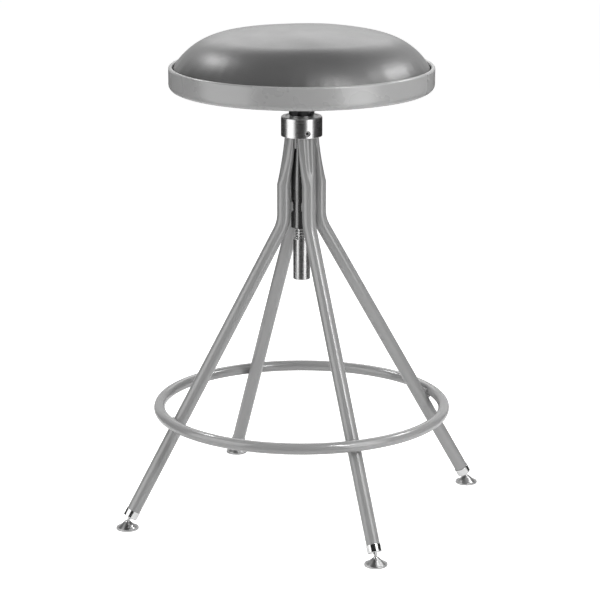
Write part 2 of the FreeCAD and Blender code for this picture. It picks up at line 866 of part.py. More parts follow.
def seat_plate():
    """The steel flange under the pan, with the boss that the spindle is welded into."""
    hole = S["screw_radius"] + S["fit_play"]
    soft = S["plate_thickness"] / 4
    body = turned("seat_plate", [
        (hole, boss_bottom),
        (S["boss_radius"], boss_bottom),
        (S["boss_radius"], plate_bottom),
        (S["plate_radius"] - soft, plate_bottom),
        (S["plate_radius"], plate_bottom + soft),
        (S["plate_radius"], pan_bottom),
        (hole, pan_bottom),
    ])
    drill(body, "seat_plate_holes", bolt_places(), S["bolt_radius"] + S["bolt_play"], pan_bottom,
          2 * S["plate_thickness"])
    return body


def spindle_weld():
    """The fillet weld between the boss and the screw."""
    inner = S["screw_radius"] + S["screw_play"]
    size = S["spindle_weld_size"]
    return turned("spindle_weld", [
        (inner, boss_bottom - size),
        (inner + size, boss_bottom),
        (inner, boss_bottom),
    ])


def seat_pan():
    """The pressed pan: flat floor, rounded corner, upright rim and a rolled bead round the lip."""
    outer = S["pan_radius"]
    inner = outer - S["pan_sheet"]
    corner = S["pan_corner_radius"]
    inside = corner - S["pan_sheet"]
    bead = S["pan_bead_radius"]
    floor = pan_bottom + S["pan_sheet"]
    hole = S["pan_centre_hole_radius"]
    body = turned("seat_pan", [
        (hole, pan_bottom),
        (outer - corner, pan_bottom, corner),
        (outer, pan_bottom + corner),
        (outer, pan_top - bead, bead),
        (outer - bead, pan_top, bead),
        (outer - 2 * bead, pan_top - bead),
        (outer - bead, pan_top - 2 * bead),
        (inner, pan_top - 2 * bead),
        (inner, pan_bottom + corner, -inside),
        (outer - corner, floor),
        (hole, floor),
    ])
    drill(body, "seat_pan_holes", bolt_places(), S["bolt_radius"] + S["bolt_play"], floor, 2 * S["pan_sheet"])
    return body


def seat_bolts():
    """Four hexagon bolts up through the plate, the pan and the board."""
    under_head = plate_bottom - S["bolt_washer_thickness"]
    top = board_top - S["tee_nut_flange_thickness"]
    bolts = []
    for number, (x, y) in enumerate(bolt_places()):
        head = primitive("Prism", f"bolt_head_{number}",
                         Circumradius=S["bolt_head_across_flats"] / sqrt(3), Height=S["bolt_head_height"])
        head.Polygon = HEX_SIDES
        place(head, x, y, under_head - S["bolt_head_height"])
        shank = primitive("Cylinder", f"bolt_shank_{number}", Radius=S["bolt_radius"], Height=top - under_head)
        place(shank, x, y, under_head)
        bolts.append(fuse(f"seat_bolt_{number}", [head, shank]))
    return group("seat_bolts", bolts)


def bolt_washers():
    """A spring washer under each bolt head."""
    washers = []
    for number, (x, y) in enumerate(bolt_places()):
        disc = primitive("Cylinder", f"washer_disc_{number}", Radius=S["bolt_washer_radius"],
                         Height=S["bolt_washer_thickness"])
        hole = primitive("Cylinder", f"washer_hole_{number}", Radius=S["bolt_radius"] + S["bolt_play"],
                         Height=S["bolt_washer_thickness"])
        washer = cut(f"bolt_washer_{number}", disc, [hole])
        place(washer, x, y, plate_bottom - S["bolt_washer_thickness"])
        washers.append(washer)
    return group("bolt_washers", washers)


def tee_nuts():
    """Tee nuts sunk in the top of the board, which the bolts thread into."""
    nuts = []
    for number, (x, y) in enumerate(bolt_places()):
        flange = primitive("Cylinder", f"tee_flange_{number}", Radius=S["tee_nut_flange_radius"],
                           Height=S["tee_nut_flange_thickness"])
        place(flange, 0, 0, S["tee_nut_barrel_length"] - S["tee_nut_flange_thickness"])
        barrel = primitive("Cylinder", f"tee_barrel_{number}", Radius=S["tee_nut_barrel_radius"],
                           Height=S["tee_nut_barrel_length"])
        whole = fuse(f"tee_blank_{number}", [flange, barrel])
        bore = primitive("Cylinder", f"tee_bore_{number}", Radius=S["bolt_radius"] + S["fit_play"],
                         Height=S["tee_nut_barrel_length"])
        nut = cut(f"tee_nut_{number}", whole, [bore])
        place(nut, x, y, board_top - S["tee_nut_barrel_length"])
        nuts.append(nut)
    return group("tee_nuts", nuts)


# Cushion
def cushion_edge(inset):
    """Corners of the crown and shoulder for a surface that lies inset under the outside of the cover.

    Gives the crown's top and radius, where the shoulder starts, the shoulder's radius, and where it ends.
    """
    rise = sqrt(1 - crown_lean.value**2)
    crown = S["crown_radius"] - inset
    crown_centre = crown_top - S["crown_radius"]
    join = (crown * crown_lean, crown_centre + crown * rise)
    apart = S["crown_radius"] - shoulder_radius
    shoulder = shoulder_radius - inset
    end = (apart * crown_lean + shoulder * sin(shoulder_turn),
           crown_centre + apart * rise + shoulder * cos(shoulder_turn))
    return crown_top - inset, crown, join, shoulder, end


def seat_board():
    """The plywood disc that carries the foam, bored for the tee nuts."""
    edge = cushion_foot - S["cover_thickness"] - S["board_inset"]
    soft = S["board_thickness"] / 6
    body = turned("seat_board", [
        (0, board_bottom),
        (edge - soft, board_bottom),
        (edge, board_bottom + soft),
        (edge, board_top),
        (0, board_top),
    ])
    drill(body, "board_holes", bolt_places(), S["tee_nut_barrel_radius"] + S["fit_play"], board_top,
          2 * S["board_thickness"])
    drill(body, "board_sinks", bolt_places(), S["tee_nut_flange_radius"] + S["fit_play"], board_top,
          S["tee_nut_flange_thickness"])
    return body


def seat_foam():
    """The crowned foam pad between the board and the cover."""
    inset = S["cover_thickness"] + S["cover_clearance"]
    top, crown, join, shoulder, end = cushion_edge(inset)
    return turned("seat_foam", [
        (0, board_top),
        (cushion_foot - inset, board_top),
        (*end, shoulder),
        (*join, crown),
        (0, top),
    ])


def seat_cover():
    """The cover: one skin over the crown, down the drawn-in side and tucked under the board."""
    skin = S["cover_thickness"]
    top, crown, join, shoulder, end = cushion_edge(0)
    inner_top, inner_crown, inner_join, inner_shoulder, inner_end = cushion_edge(skin)
    tuck = cushion_foot - S["cover_tuck"]
    soft = 2 * skin
    return turned("seat_cover", [
        (tuck, tuck_bottom),
        (cushion_foot - soft, tuck_bottom),
        (cushion_foot, tuck_bottom + soft),
        (*end, shoulder),
        (*join, crown),
        (0, top),
        (0, inner_top, -inner_crown),
        (*inner_join, -inner_shoulder),
        inner_end,
        (cushion_foot - skin, tuck_bottom + soft),
        (cushion_foot - soft, board_bottom),
        (tuck, board_bottom),
    ])


def cover_staples():
    """Wire staples through the tucked edge of the cover into the board."""
    wire = S["staple_wire"]
    width = S["staple_width"]
    radius = cushion_foot - S["cover_tuck"] + S["staple_inset"]
    staples = []
    for number in range(STAPLE_COUNT):
        bearing = 360 / STAPLE_COUNT * (number + 0.5)
        crown = primitive("Box", f"staple_crown_{number}", Length=wire, Width=width, Height=wire)
        place(crown, 0, -width / 2, 0)
        prongs = []
        for hand, offset in enumerate((-width / 2, width / 2 - wire)):
            prong = primitive("Box", f"staple_prong_{number}_{hand}", Length=wire, Width=wire,
                              Height=S["staple_leg"])
            prongs.append(place(prong, 0, offset, 0))
        staple = fuse(f"staple_{number}", [crown, *prongs])
        x, y = around(radius, bearing)
        place(staple, x, y, tuck_bottom - wire, Rotation(Vector(0, 0, 1), bearing))
        staples.append(staple)
    return group("cover_staples", staples)


# Assembly
def build():
    """Make every piece and give back the objects that are nodes."""
    nodes = []
    for side, bearing in LEGS.items():
        nodes.append(leg(side, bearing))
        nodes.append(boot(side, bearing))
        nodes.append(ball_stud(side, bearing))
        nodes.append(glide_base(side, bearing))
    nodes += [foot_ring(), ring_welds(), guide_tube(), hub_collar(), collar_set_screw(), lift_nut(), hub_welds()]
    nodes += [spindle(), guide_sleeve(), keeper_washer(), keeper_screw(), jam_nut()]
    nodes += [seat_plate(), spindle_weld(), seat_pan(), seat_bolts(), bolt_washers(), tee_nuts()]
    nodes += [seat_board(), seat_foam(), seat_cover(), cover_staples()]
    return nodes


def check(nodes):
    """Stop with a plain message if any object failed or any node's shape isn't sound."""
    for thing in doc.Objects:
        if {"Invalid", "Error"} & set(thing.State):
            raise RuntimeError(f"{thing.Label} didn't compute: {thing.State} {thing.getStatusString()}")
    for node in nodes:
        if node.Shape.isNull() or not node.Shape.isValid() or not node.Shape.Solids:
            raise RuntimeError(f"{node.Label} has no sound shape")


def write(nodes):
    os.makedirs("parts", exist_ok=True)
    for node in nodes:
        node.Shape.exportStep(os.path.join("parts", node.Label + ".step"))
        solids = len(node.Shape.Solids)
        print(f"{node.Label}: {solids} solid, {node.Shape.Volume / 1000:.2f} cm3")


nodes = build()
doc.recompute()
check(nodes)
write(nodes)
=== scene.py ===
# %% [markdown]
# This lesson dresses a machinist stool: a crowned vinyl seat in a steel pan, a lift screw in a plated hub,
# four swaged tube legs, a foot ring and swivel glides. The CAD model gives every place and size, so the
# first step loads it as a fixed frame. All that is made here is in metres, in the frame's own coordinates,
# and each piece rides on one of the frame's moving bodies.

# %% Load the frame
import bmesh
import bpy
import json
import math
import numpy as np
from mathutils import Matrix, Vector

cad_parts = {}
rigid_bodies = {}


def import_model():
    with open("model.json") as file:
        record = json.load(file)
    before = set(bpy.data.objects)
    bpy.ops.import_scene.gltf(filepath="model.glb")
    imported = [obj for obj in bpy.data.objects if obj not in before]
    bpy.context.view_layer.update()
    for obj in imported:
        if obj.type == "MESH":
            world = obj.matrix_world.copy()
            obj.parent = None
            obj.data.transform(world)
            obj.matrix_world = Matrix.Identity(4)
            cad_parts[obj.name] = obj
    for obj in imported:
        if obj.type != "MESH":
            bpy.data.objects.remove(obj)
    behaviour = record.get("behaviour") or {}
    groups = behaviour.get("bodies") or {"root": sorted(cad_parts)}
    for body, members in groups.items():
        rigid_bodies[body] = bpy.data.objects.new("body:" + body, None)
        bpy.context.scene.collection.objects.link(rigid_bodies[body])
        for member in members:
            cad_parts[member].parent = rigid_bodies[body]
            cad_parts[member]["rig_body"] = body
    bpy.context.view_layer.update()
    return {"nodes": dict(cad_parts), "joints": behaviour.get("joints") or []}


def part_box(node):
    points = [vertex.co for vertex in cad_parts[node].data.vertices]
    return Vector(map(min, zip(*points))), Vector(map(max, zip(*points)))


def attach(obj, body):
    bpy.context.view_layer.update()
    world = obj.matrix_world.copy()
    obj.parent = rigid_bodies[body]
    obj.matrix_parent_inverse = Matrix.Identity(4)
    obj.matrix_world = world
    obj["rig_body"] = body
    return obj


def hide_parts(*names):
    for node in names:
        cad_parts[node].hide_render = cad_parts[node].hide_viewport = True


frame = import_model()
scene = bpy.context.scene
scene.view_settings.view_transform = "Standard"
print("nodes", len(frame["nodes"]))

# %% [markdown]
# The photograph was taken from a little above the seat, from between the left and the front leg, with a
# long lens. A camera fitted to the pan, the ring, the legs and the glides gives these numbers. The lens
# follows from the focal length in pixels, because the picture is 600 pixels wide on a 36 mm sensor.

# %% Set the camera
PHOTO_PIXELS = 600
FOCAL_PIXELS = 2410.35
SENSOR_MM = 36.0
CAMERA_DISTANCE = 3.29977
CAMERA_HEIGHT = 1.16402
CAMERA_BEARING = 0.3887
CAMERA_YAW = -0.0007
CAMERA_PITCH = 0.2544


def placed(name, data):
    """A new object with this data in the scene."""
    item = bpy.data.objects.new(name, data)
    scene.collection.objects.link(item)
    return item


around_x, around_y = math.sin(CAMERA_BEARING), math.cos(CAMERA_BEARING)
look_x, look_y = math.sin(CAMERA_BEARING + CAMERA_YAW), math.cos(CAMERA_BEARING + CAMERA_YAW)
camera = placed("camera", bpy.data.cameras.new("camera"))
camera.data.sensor_width = SENSOR_MM
camera.data.lens = FOCAL_PIXELS * SENSOR_MM / PHOTO_PIXELS
camera.location = (-CAMERA_DISTANCE * around_x, -CAMERA_DISTANCE * around_y, CAMERA_HEIGHT)
forward = Vector((look_x * math.cos(CAMERA_PITCH), look_y * math.cos(CAMERA_PITCH), -math.sin(CAMERA_PITCH)))
camera.rotation_mode = "QUATERNION"
camera.rotation_quaternion = forward.to_track_quat("-Z", "Y")
scene.camera = camera
print("lens", round(camera.data.lens, 1), "mm")

# %% [markdown]
# Every finish is one Principled shader. Numbers that are the same all over go straight on its sockets, and
# what varies comes from noise on Object coordinates: a slow tone shift, patches of gloss, and a bump for the
# grain. Noise hardly leaves the middle of its range, so that middle is stretched over the two tones. These
# small helpers keep each recipe short.

# %% Helper for nodes
def laid(tree, kind, inputs):
    """A new node of a kind. Each input is linked to a socket or set to a value."""
    node = tree.nodes.new(kind)
    for name, value in inputs.items():
        if isinstance(value, bpy.types.NodeSocket):
            tree.links.new(value, node.inputs[name])
        else:
            node.inputs[name].default_value = value
    return node


print("node helper ready")

# %% Helpers for finishes
NOISE_LOW = 0.3
NOISE_HIGH = 0.7
TONE_DETAIL = 4.0
GLOSS_DETAIL = 3.0


def plain_finish(name, colour, metallic, roughness, specular=0.5):
    """A material whose Principled shader has these values all over."""
    material = bpy.data.materials.new(name)
    material.use_nodes = True
    shader = material.node_tree.nodes["Principled BSDF"]
    shader.inputs["Base Color"].default_value = (*colour, 1)
    shader.inputs["Metallic"].default_value = metallic
    shader.inputs["Roughness"].default_value = roughness
    shader.inputs["Specular IOR Level"].default_value = specular
    return material


def object_point(material, stretch=(1, 1, 1)):
    """Object coordinates, stretched along the axes."""
    place = laid(material.node_tree, "ShaderNodeTexCoord", {}).outputs["Object"]
    mapping = laid(material.node_tree, "ShaderNodeMapping", {"Vector": place, "Scale": stretch})
    return mapping.outputs["Vector"]


def noise_value(material, waves, detail, stretch=(1, 1, 1)):
    """A noise from 0 to 1 with a given number of waves to the metre."""
    noise = laid(material.node_tree, "ShaderNodeTexNoise", {
        "Vector": object_point(material, stretch), "Scale": waves, "Detail": detail})
    return noise.outputs["Fac"]


def vary_colour(material, waves, dark, light, stretch=(1, 1, 1)):
    """Let the colour drift between two tones."""
    tree = material.node_tree
    ramp = laid(tree, "ShaderNodeValToRGB", {"Fac": noise_value(material, waves, TONE_DETAIL, stretch)})
    low, high = ramp.color_ramp.elements
    low.position, high.position = NOISE_LOW, NOISE_HIGH
    low.color, high.color = (*dark, 1), (*light, 1)
    tree.links.new(ramp.outputs["Color"], tree.nodes["Principled BSDF"].inputs["Base Color"])


def vary_gloss(material, waves, low, high, stretch=(1, 1, 1)):
    """Let the roughness drift between two values."""
    tree = material.node_tree
    span = laid(tree, "ShaderNodeMapRange", {
        "Value": noise_value(material, waves, GLOSS_DETAIL, stretch),
        "From Min": NOISE_LOW, "From Max": NOISE_HIGH, "To Min": low, "To Max": high})
    tree.links.new(span.outputs["Result"], tree.nodes["Principled BSDF"].inputs["Roughness"])


def bump(material, height, strength, depth):
    """Raise the surface by a height value, with depth in metres, on top of any bump that is there."""
    tree = material.node_tree
    normal = tree.nodes["Principled BSDF"].inputs["Normal"]
    relief = laid(tree, "ShaderNodeBump", {"Strength": strength, "Distance": depth, "Height": height})
    if normal.links:
        tree.links.new(normal.links[0].from_socket, relief.inputs["Normal"])
    tree.links.new(relief.outputs["Normal"], normal)


print("finish helpers ready")

# %% [markdown]
# The frame and the pan are sprayed with grey enamel. Up close enamel has orange peel, a soft ripple of about
# a millimetre on the tubes and wider on the broad pan, and its gloss isn't even. A coat layer would do too,
# but one rough layer with a little ripple keeps the soft highlights that the photograph shows.

# %% Grey enamel
FRAME_GREY = (0.285, 0.285, 0.285)
FRAME_GREY_WORN = (0.268, 0.268, 0.268)
PAN_GREY = (0.312, 0.312, 0.312)
PAN_GREY_WORN = (0.308, 0.308, 0.308)
ENAMEL_SPECULAR = 0.9
ORANGE_PEEL_WAVES = 700.0
PAN_RIPPLE_WAVES = 220.0

frame_enamel = plain_finish("frame_enamel", FRAME_GREY, metallic=0.0, roughness=0.2, specular=ENAMEL_SPECULAR)
vary_colour(frame_enamel, waves=5.0, dark=FRAME_GREY_WORN, light=FRAME_GREY)
vary_gloss(frame_enamel, waves=24.0, low=0.15, high=0.21)
bump(frame_enamel, noise_value(frame_enamel, ORANGE_PEEL_WAVES, detail=2.0), strength=0.06, depth=0.0003)

pan_enamel = plain_finish("pan_enamel", PAN_GREY, metallic=0.0, roughness=0.28, specular=ENAMEL_SPECULAR)
vary_colour(pan_enamel, waves=6.0, dark=PAN_GREY_WORN, light=PAN_GREY)
vary_gloss(pan_enamel, waves=18.0, low=0.26, high=0.29)
bump(pan_enamel, noise_value(pan_enamel, PAN_RIPPLE_WAVES, detail=1.0), strength=0.03, depth=0.0001)
print("enamels", frame_enamel.name, pan_enamel.name)

# %% [markdown]
# The bright parts are plated steel: a bright plate on the screw, the boots and the studs, a softer one on the
# turned collar and sleeve, and a greyer one on the pressed glides. Turned parts keep fine lines round their
# axis, so the noise for their gloss is squeezed along Z. The guide tube and the grub screw are dark steel,
# the jam nut is blackened, and the bolts and tee nuts are zinc plated.

# %% Metals
CHROME = (0.62, 0.62, 0.62)
SATIN_CHROME = (0.56, 0.56, 0.56)
GLIDE_GREY = (0.4, 0.4, 0.4)
DARK_STEEL = (0.22, 0.22, 0.22)
DARK_STEEL_LOW = (0.18, 0.18, 0.18)
DARK_STEEL_HIGH = (0.25, 0.25, 0.25)
BLACK_OXIDE = (0.02, 0.02, 0.021)
ZINC = (0.62, 0.63, 0.64)
ZINC_DULL = (0.55, 0.56, 0.58)
ZINC_CLEAR = (0.68, 0.68, 0.68)
TURNED_LINES = (30, 30, 4000)
DRAWN_TUBE = (1, 1, 0.2)


def turned_lines(material):
    """Noise in fine lines round the Z axis."""
    return noise_value(material, waves=1.0, detail=2.0, stretch=TURNED_LINES)


bright_plate = plain_finish("bright_plate", CHROME, metallic=1.0, roughness=0.14)
vary_gloss(bright_plate, waves=60.0, low=0.1, high=0.17)
bump(bright_plate, turned_lines(bright_plate), strength=0.04, depth=0.00003)

satin_plate = plain_finish("satin_plate", SATIN_CHROME, metallic=1.0, roughness=0.22)
vary_gloss(satin_plate, waves=1.0, low=0.18, high=0.26, stretch=TURNED_LINES)
bump(satin_plate, turned_lines(satin_plate), strength=0.06, depth=0.00004)

sleeve_plate = plain_finish("sleeve_plate", CHROME, metallic=1.0, roughness=0.3)
vary_gloss(sleeve_plate, waves=1.0, low=0.25, high=0.34, stretch=TURNED_LINES)
bump(sleeve_plate, turned_lines(sleeve_plate), strength=0.01, depth=0.00003)

glide_plate = plain_finish("glide_plate", GLIDE_GREY, metallic=1.0, roughness=0.3)
vary_gloss(glide_plate, waves=60.0, low=0.27, high=0.34)
bump(glide_plate, noise_value(glide_plate, waves=400.0, detail=2.0), strength=0.05, depth=0.0001)

dark_steel = plain_finish("dark_steel", DARK_STEEL, metallic=0.9, roughness=0.26)
vary_colour(dark_steel, waves=30.0, dark=DARK_STEEL_LOW, light=DARK_STEEL_HIGH, stretch=DRAWN_TUBE)
vary_gloss(dark_steel, waves=50.0, low=0.2, high=0.3)

black_oxide = plain_finish("black_oxide", BLACK_OXIDE, metallic=0.6, roughness=0.38)
vary_gloss(black_oxide, waves=300.0, low=0.3, high=0.46)
bump(black_oxide, noise_value(black_oxide, waves=900.0, detail=3.0), strength=0.15, depth=0.0002)

zinc_plate = plain_finish("zinc_plate", ZINC, metallic=1.0, roughness=0.35)
vary_colour(zinc_plate, waves=200.0, dark=ZINC_DULL, light=ZINC_CLEAR)
vary_gloss(zinc_plate, waves=150.0, low=0.28, high=0.42)
print("metals", bright_plate.name, dark_steel.name, black_oxide.name, zinc_plate.name)

# %% [markdown]
# The cover is grey upholstery vinyl with an embossed leather grain. The grain is made of cells: a Voronoi
# texture gives the creases between the grains, and a fine noise roughens their tops. The tone hardly
# changes, but the gloss does, because hands and trousers polish the crown.

# %% Vinyl
VINYL_GREY = (0.082, 0.082, 0.082)
VINYL_GREY_LIGHT = (0.09, 0.09, 0.09)
GRAINS_PER_METRE = 460.0
CREASE_WIDTH = 0.35
FINE_WAVES = 2400.0

grey_vinyl = plain_finish("grey_vinyl", VINYL_GREY, metallic=0.0, roughness=0.33, specular=1.0)
vary_colour(grey_vinyl, waves=14.0, dark=VINYL_GREY, light=VINYL_GREY_LIGHT)
vary_gloss(grey_vinyl, waves=30.0, low=0.34, high=0.38)
grain = grey_vinyl.node_tree.nodes.new("ShaderNodeTexVoronoi")
grain.feature = "DISTANCE_TO_EDGE"
grain.inputs["Scale"].default_value = GRAINS_PER_METRE
grey_vinyl.node_tree.links.new(object_point(grey_vinyl), grain.inputs["Vector"])
crease = laid(grey_vinyl.node_tree, "ShaderNodeMapRange", {
    "Value": grain.outputs["Distance"], "From Max": CREASE_WIDTH})
bump(grey_vinyl, crease.outputs["Result"], strength=0.4, depth=0.00016)
bump(grey_vinyl, noise_value(grey_vinyl, FINE_WAVES, detail=2.0), strength=0.06, depth=0.0001)
print("vinyl grain", round(1000 / GRAINS_PER_METRE, 2), "mm")

# %% [markdown]
# The board under the foam is plywood and the foam itself is never seen, but a part that comes apart in
# another tool should still look right inside. Plywood shows long, thin figure on its faces.

# %% Plywood
PLY = (0.55, 0.38, 0.22)
PLY_DARK = (0.45, 0.3, 0.16)
PLY_LIGHT = (0.62, 0.45, 0.27)
LONG_FIGURE = (1, 12, 1)
LONG_PORES = (1, 14, 1)

plywood = plain_finish("plywood", PLY, metallic=0.0, roughness=0.7)
vary_colour(plywood, waves=12.0, dark=PLY_DARK, light=PLY_LIGHT, stretch=LONG_FIGURE)
pores = noise_value(plywood, waves=60.0, detail=4.0, stretch=LONG_PORES)
bump(plywood, pores, strength=0.25, depth=0.0005)
print("board finish", plywood.name)

# %% [markdown]
# Pieces are plain meshes with their place in their vertices. This helper merges doubles, points the faces
# outwards, and smooths every edge except those that are really sharp, which is what makes turned steel
# look turned rather than faceted.

# %% Helpers for meshes
MERGE_DISTANCE = 1e-6


def settle(mesh, sharp_degrees, outwards=True):
    """Merge doubles, face outwards, and smooth all but the sharp edges."""
    work = bmesh.new()
    work.from_mesh(mesh)
    bmesh.ops.remove_doubles(work, verts=work.verts, dist=MERGE_DISTANCE)
    if outwards:
        bmesh.ops.recalc_face_normals(work, faces=work.faces)
    work.to_mesh(mesh)
    work.free()
    mesh.shade_smooth()
    mesh.set_sharp_from_angle(angle=math.radians(sharp_degrees))


def show(name, mesh, material, body, nodes=()):
    """Put a finished mesh in the scene: one material, one body, one slot, and the CAD nodes it stands for."""
    mesh.materials.clear()
    mesh.materials.append(material)
    piece = placed(name, mesh)
    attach(piece, body)
    if nodes:
        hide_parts(*nodes)
    return piece


def mesh_from(name, corners, faces, sharp_degrees=40):
    """A settled mesh from its corners and faces."""
    mesh = bpy.data.meshes.new(name)
    mesh.from_pydata([tuple(corner) for corner in corners], [], faces)
    settle(mesh, sharp_degrees)
    return mesh


def baked(holder, name):
    """What a holder's modifiers make, as a plain mesh. The holder and its modifiers are removed."""
    bpy.context.view_layer.update()
    evaluated = holder.evaluated_get(bpy.context.evaluated_depsgraph_get())
    mesh = bpy.data.meshes.new_from_object(evaluated)
    mesh.name = name
    bpy.data.objects.remove(holder)
    return mesh


print("mesh helpers ready")

# %% [markdown]
# Much of the stool is turned: collar, sleeve, boots, glides and pan. A turned piece is a half section spun
# round an axis. Real edges are never dead sharp, so the section's corners are rounded first, each with its
# own radius. Long straight runs get a point close to each end, or the smooth shading would bend their walls
# like a lens. Then every point becomes a ring of vertices, a point on the axis a single one, and faces join
# the rings. The same row of rings will serve for the legs.

# %% Rounded sections
ROUND_STEPS = 5
ALMOST_STRAIGHT = 0.01
ROUND_REACH_SHARE = 0.49
LONG_RUN = 0.0015
HOLD = 0.0003


def rounded(corners, closed=True):
    """A half section of (radius, height, rounding) corners as points, with an arc in place of each corner."""
    points = []
    count = len(corners)
    for i, (x, z, soft) in enumerate(corners):
        here = Vector((x, z))
        if soft <= 0 or (not closed and i in (0, count - 1)):
            points.append(here)
            continue
        before = Vector(corners[i - 1][:2]) - here
        after = Vector(corners[(i + 1) % count][:2]) - here
        before_way, after_way = before.normalized(), after.normalized()
        half = before_way.angle(after_way) / 2
        if half > math.pi / 2 - ALMOST_STRAIGHT:
            points.append(here)
            continue
        room = min(before.length, after.length) * ROUND_REACH_SHARE
        reach = min(soft / math.tan(half), room)
        radius = reach * math.tan(half)
        centre = here + (before_way + after_way).normalized() * (radius / math.sin(half))
        start, end = here + before_way * reach - centre, here + after_way * reach - centre
        sweep = start.angle_signed(end)
        for step in range(ROUND_STEPS + 1):
            turn = -sweep * step / ROUND_STEPS
            points.append(centre + Matrix.Rotation(turn, 2) @ start)
    return points


def held(points, closed):
    """The same section with a point near both ends of each long run, so that its walls shade straight."""
    result = []
    count = len(points) if closed else len(points) - 1
    for i in range(count):
        start, end = points[i], points[(i + 1) % len(points)]
        result.append(start)
        run = end - start
        if run.length > LONG_RUN:
            result.append(start + run.normalized() * HOLD)
            result.append(end - run.normalized() * HOLD)
    if not closed:
        result.append(points[-1])
    return result


print("arcs of", ROUND_STEPS, "steps")


# %% Turned pieces
def lofted(name, rings, closed=False, capped=False, sharp_degrees=40):
    """Faces between neighbouring rings of points. A ring may be a single point, and a cap fills an end."""
    corners, rows = [], []
    for ring in rings:
        rows.append(range(len(corners), len(corners) + len(ring)))
        corners.extend(ring)
    faces = [list(reversed(rows[0]))] if capped else []
    for lower, upper in zip(rows, rows[1:] + rows[:1] if closed else rows[1:]):
        for k in range(max(len(lower), len(upper))):
            face = [lower[k % len(lower)], lower[(k + 1) % len(lower)],
                    upper[(k + 1) % len(upper)], upper[k % len(upper)]]
            faces.append(list(dict.fromkeys(face)))
    if capped:
        faces.append(list(rows[-1]))
    return mesh_from(name, corners, faces, sharp_degrees)


def turned(name, points, place=Matrix.Identity(4), segments=96, closed=True, sharp_degrees=40):
    """Spin section points round the Z axis of a place. An open section starts and ends on the axis."""
    turns = [2 * math.pi * k / segments for k in range(segments)]
    rings = []
    for x, z in held(points, closed):
        ring = [(x * math.cos(turn), x * math.sin(turn), z) for turn in turns]
        if x < MERGE_DISTANCE:
            ring = [(0, 0, z)]
        rings.append([place @ Vector(point) for point in ring])
    return lofted(name, rings, closed, sharp_degrees=sharp_degrees)


print("turning helper ready")

# %% [markdown]
# Some nodes already have the right shape and only need smooth shading. Their mesh is loose triangles that
# point the right way, so a copy is merged and smoothed, and the copy stands for the node.

# %% Dressed CAD nodes
def dress(node, material, sharp_degrees=30):
    """A merged, smooth copy of a CAD node in a new finish."""
    source = frame["nodes"][node]
    mesh = source.data.copy()
    mesh.name = node + "_dressed"
    settle(mesh, sharp_degrees, outwards=False)
    return show(node + "_dressed", mesh, material, source["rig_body"], [node])


dress("lift_nut", satin_plate)
dress("collar_set_screw", dark_steel)
dress("jam_nut", black_oxide)
dress("guide_tube", dark_steel)
for node in ("seat_bolts", "bolt_washers", "tee_nuts", "cover_staples", "keeper_screw", "keeper_washer"):
    dress(node, zinc_plate)
for node in ("seat_plate", "spindle_weld"):
    dress(node, frame_enamel)
dress("seat_board", plywood)

# %% [markdown]
# The hub collar is turned from bar and plated. Its edges are chamfered, its top is dished round the lift nut,
# and its underside is counterbored to cap the leg tops. A hole for the grub screw is drilled through its
# wall, which a Boolean modifier does to the turned mesh.

# %% Hub collar
collar_low, collar_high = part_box("hub_collar")
grub_low, grub_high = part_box("collar_set_screw")
nut_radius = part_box("lift_nut")[1].x
COLLAR_RADIUS = collar_high.x
COLLAR_CHAMFER = 0.0012
COLLAR_PLAY = 0.00005
DISH_RADIUS = 0.0233
DISH_DEPTH = 0.0008
DISH_WALL_RUN = 0.0004
LEG_POCKET_RADIUS = 0.0236
LEG_POCKET_DEPTH = 0.0025
GRUB_HOLE_RADIUS = 0.0042
DRILL_LENGTH = 0.02
DRILL_START = 0.018

collar_bore = nut_radius + COLLAR_PLAY
pocket_top = collar_low.z + LEG_POCKET_DEPTH
dish_floor = collar_high.z - DISH_DEPTH
collar_section = rounded([
    (collar_bore, pocket_top, 0), (LEG_POCKET_RADIUS, pocket_top, 0),
    (LEG_POCKET_RADIUS, collar_low.z, 0.0003), (COLLAR_RADIUS, collar_low.z, 0.0007),
    (COLLAR_RADIUS, collar_high.z - COLLAR_CHAMFER, 0.0006),
    (COLLAR_RADIUS - COLLAR_CHAMFER, collar_high.z, 0.0005),
    (DISH_RADIUS, collar_high.z, 0.0003), (DISH_RADIUS - DISH_WALL_RUN, dish_floor, 0.0002),
    (collar_bore, dish_floor, 0)])
collar_blank = turned("collar_ring", collar_section, segments=128)
print("collar bore", round(collar_bore * 2000, 1), "mm")

# %% Grub hole
grub_middle = (grub_low + grub_high) / 2
grub_bearing = math.atan2(grub_middle.y, grub_middle.x)
drill_place = (Matrix.Translation((0, 0, grub_middle.z)) @ Matrix.Rotation(grub_bearing, 4, "Z")
               @ Matrix.Rotation(math.pi / 2, 4, "Y") @ Matrix.Translation((0, 0, DRILL_START)))
drill_section = [Vector((0, 0)), Vector((GRUB_HOLE_RADIUS, 0)), Vector((GRUB_HOLE_RADIUS, DRILL_LENGTH)),
                 Vector((0, DRILL_LENGTH))]
drill_mesh = turned("drill", drill_section, drill_place, segments=32, closed=False)
collar_holder = placed("collar_holder", collar_blank)
drill = placed("drill", drill_mesh)
hole = collar_holder.modifiers.new("grub hole", "BOOLEAN")
hole.operation = "DIFFERENCE"
hole.object = drill
collar_mesh = baked(collar_holder, "collar_ring")
bpy.data.objects.remove(drill)
settle(collar_mesh, sharp_degrees=35)
show("collar_ring", collar_mesh, sleeve_plate, "frame", ["hub_collar"])
print("collar", len(collar_mesh.polygons), "faces")

# %% [markdown]
# Each leg is one length of tube. From the foot it runs straight, bends up beside the guide tube, and then its
# top is swaged: pressed flat between dies into a grooved crescent that wraps the guide tube. The leg is
# therefore a row of sections. Below the swage they are circles square to the path. In the swage each section
# is a mix of the circle and the crescent, and the groove comes in at once where the dies ended, which is
# what gives the crease.

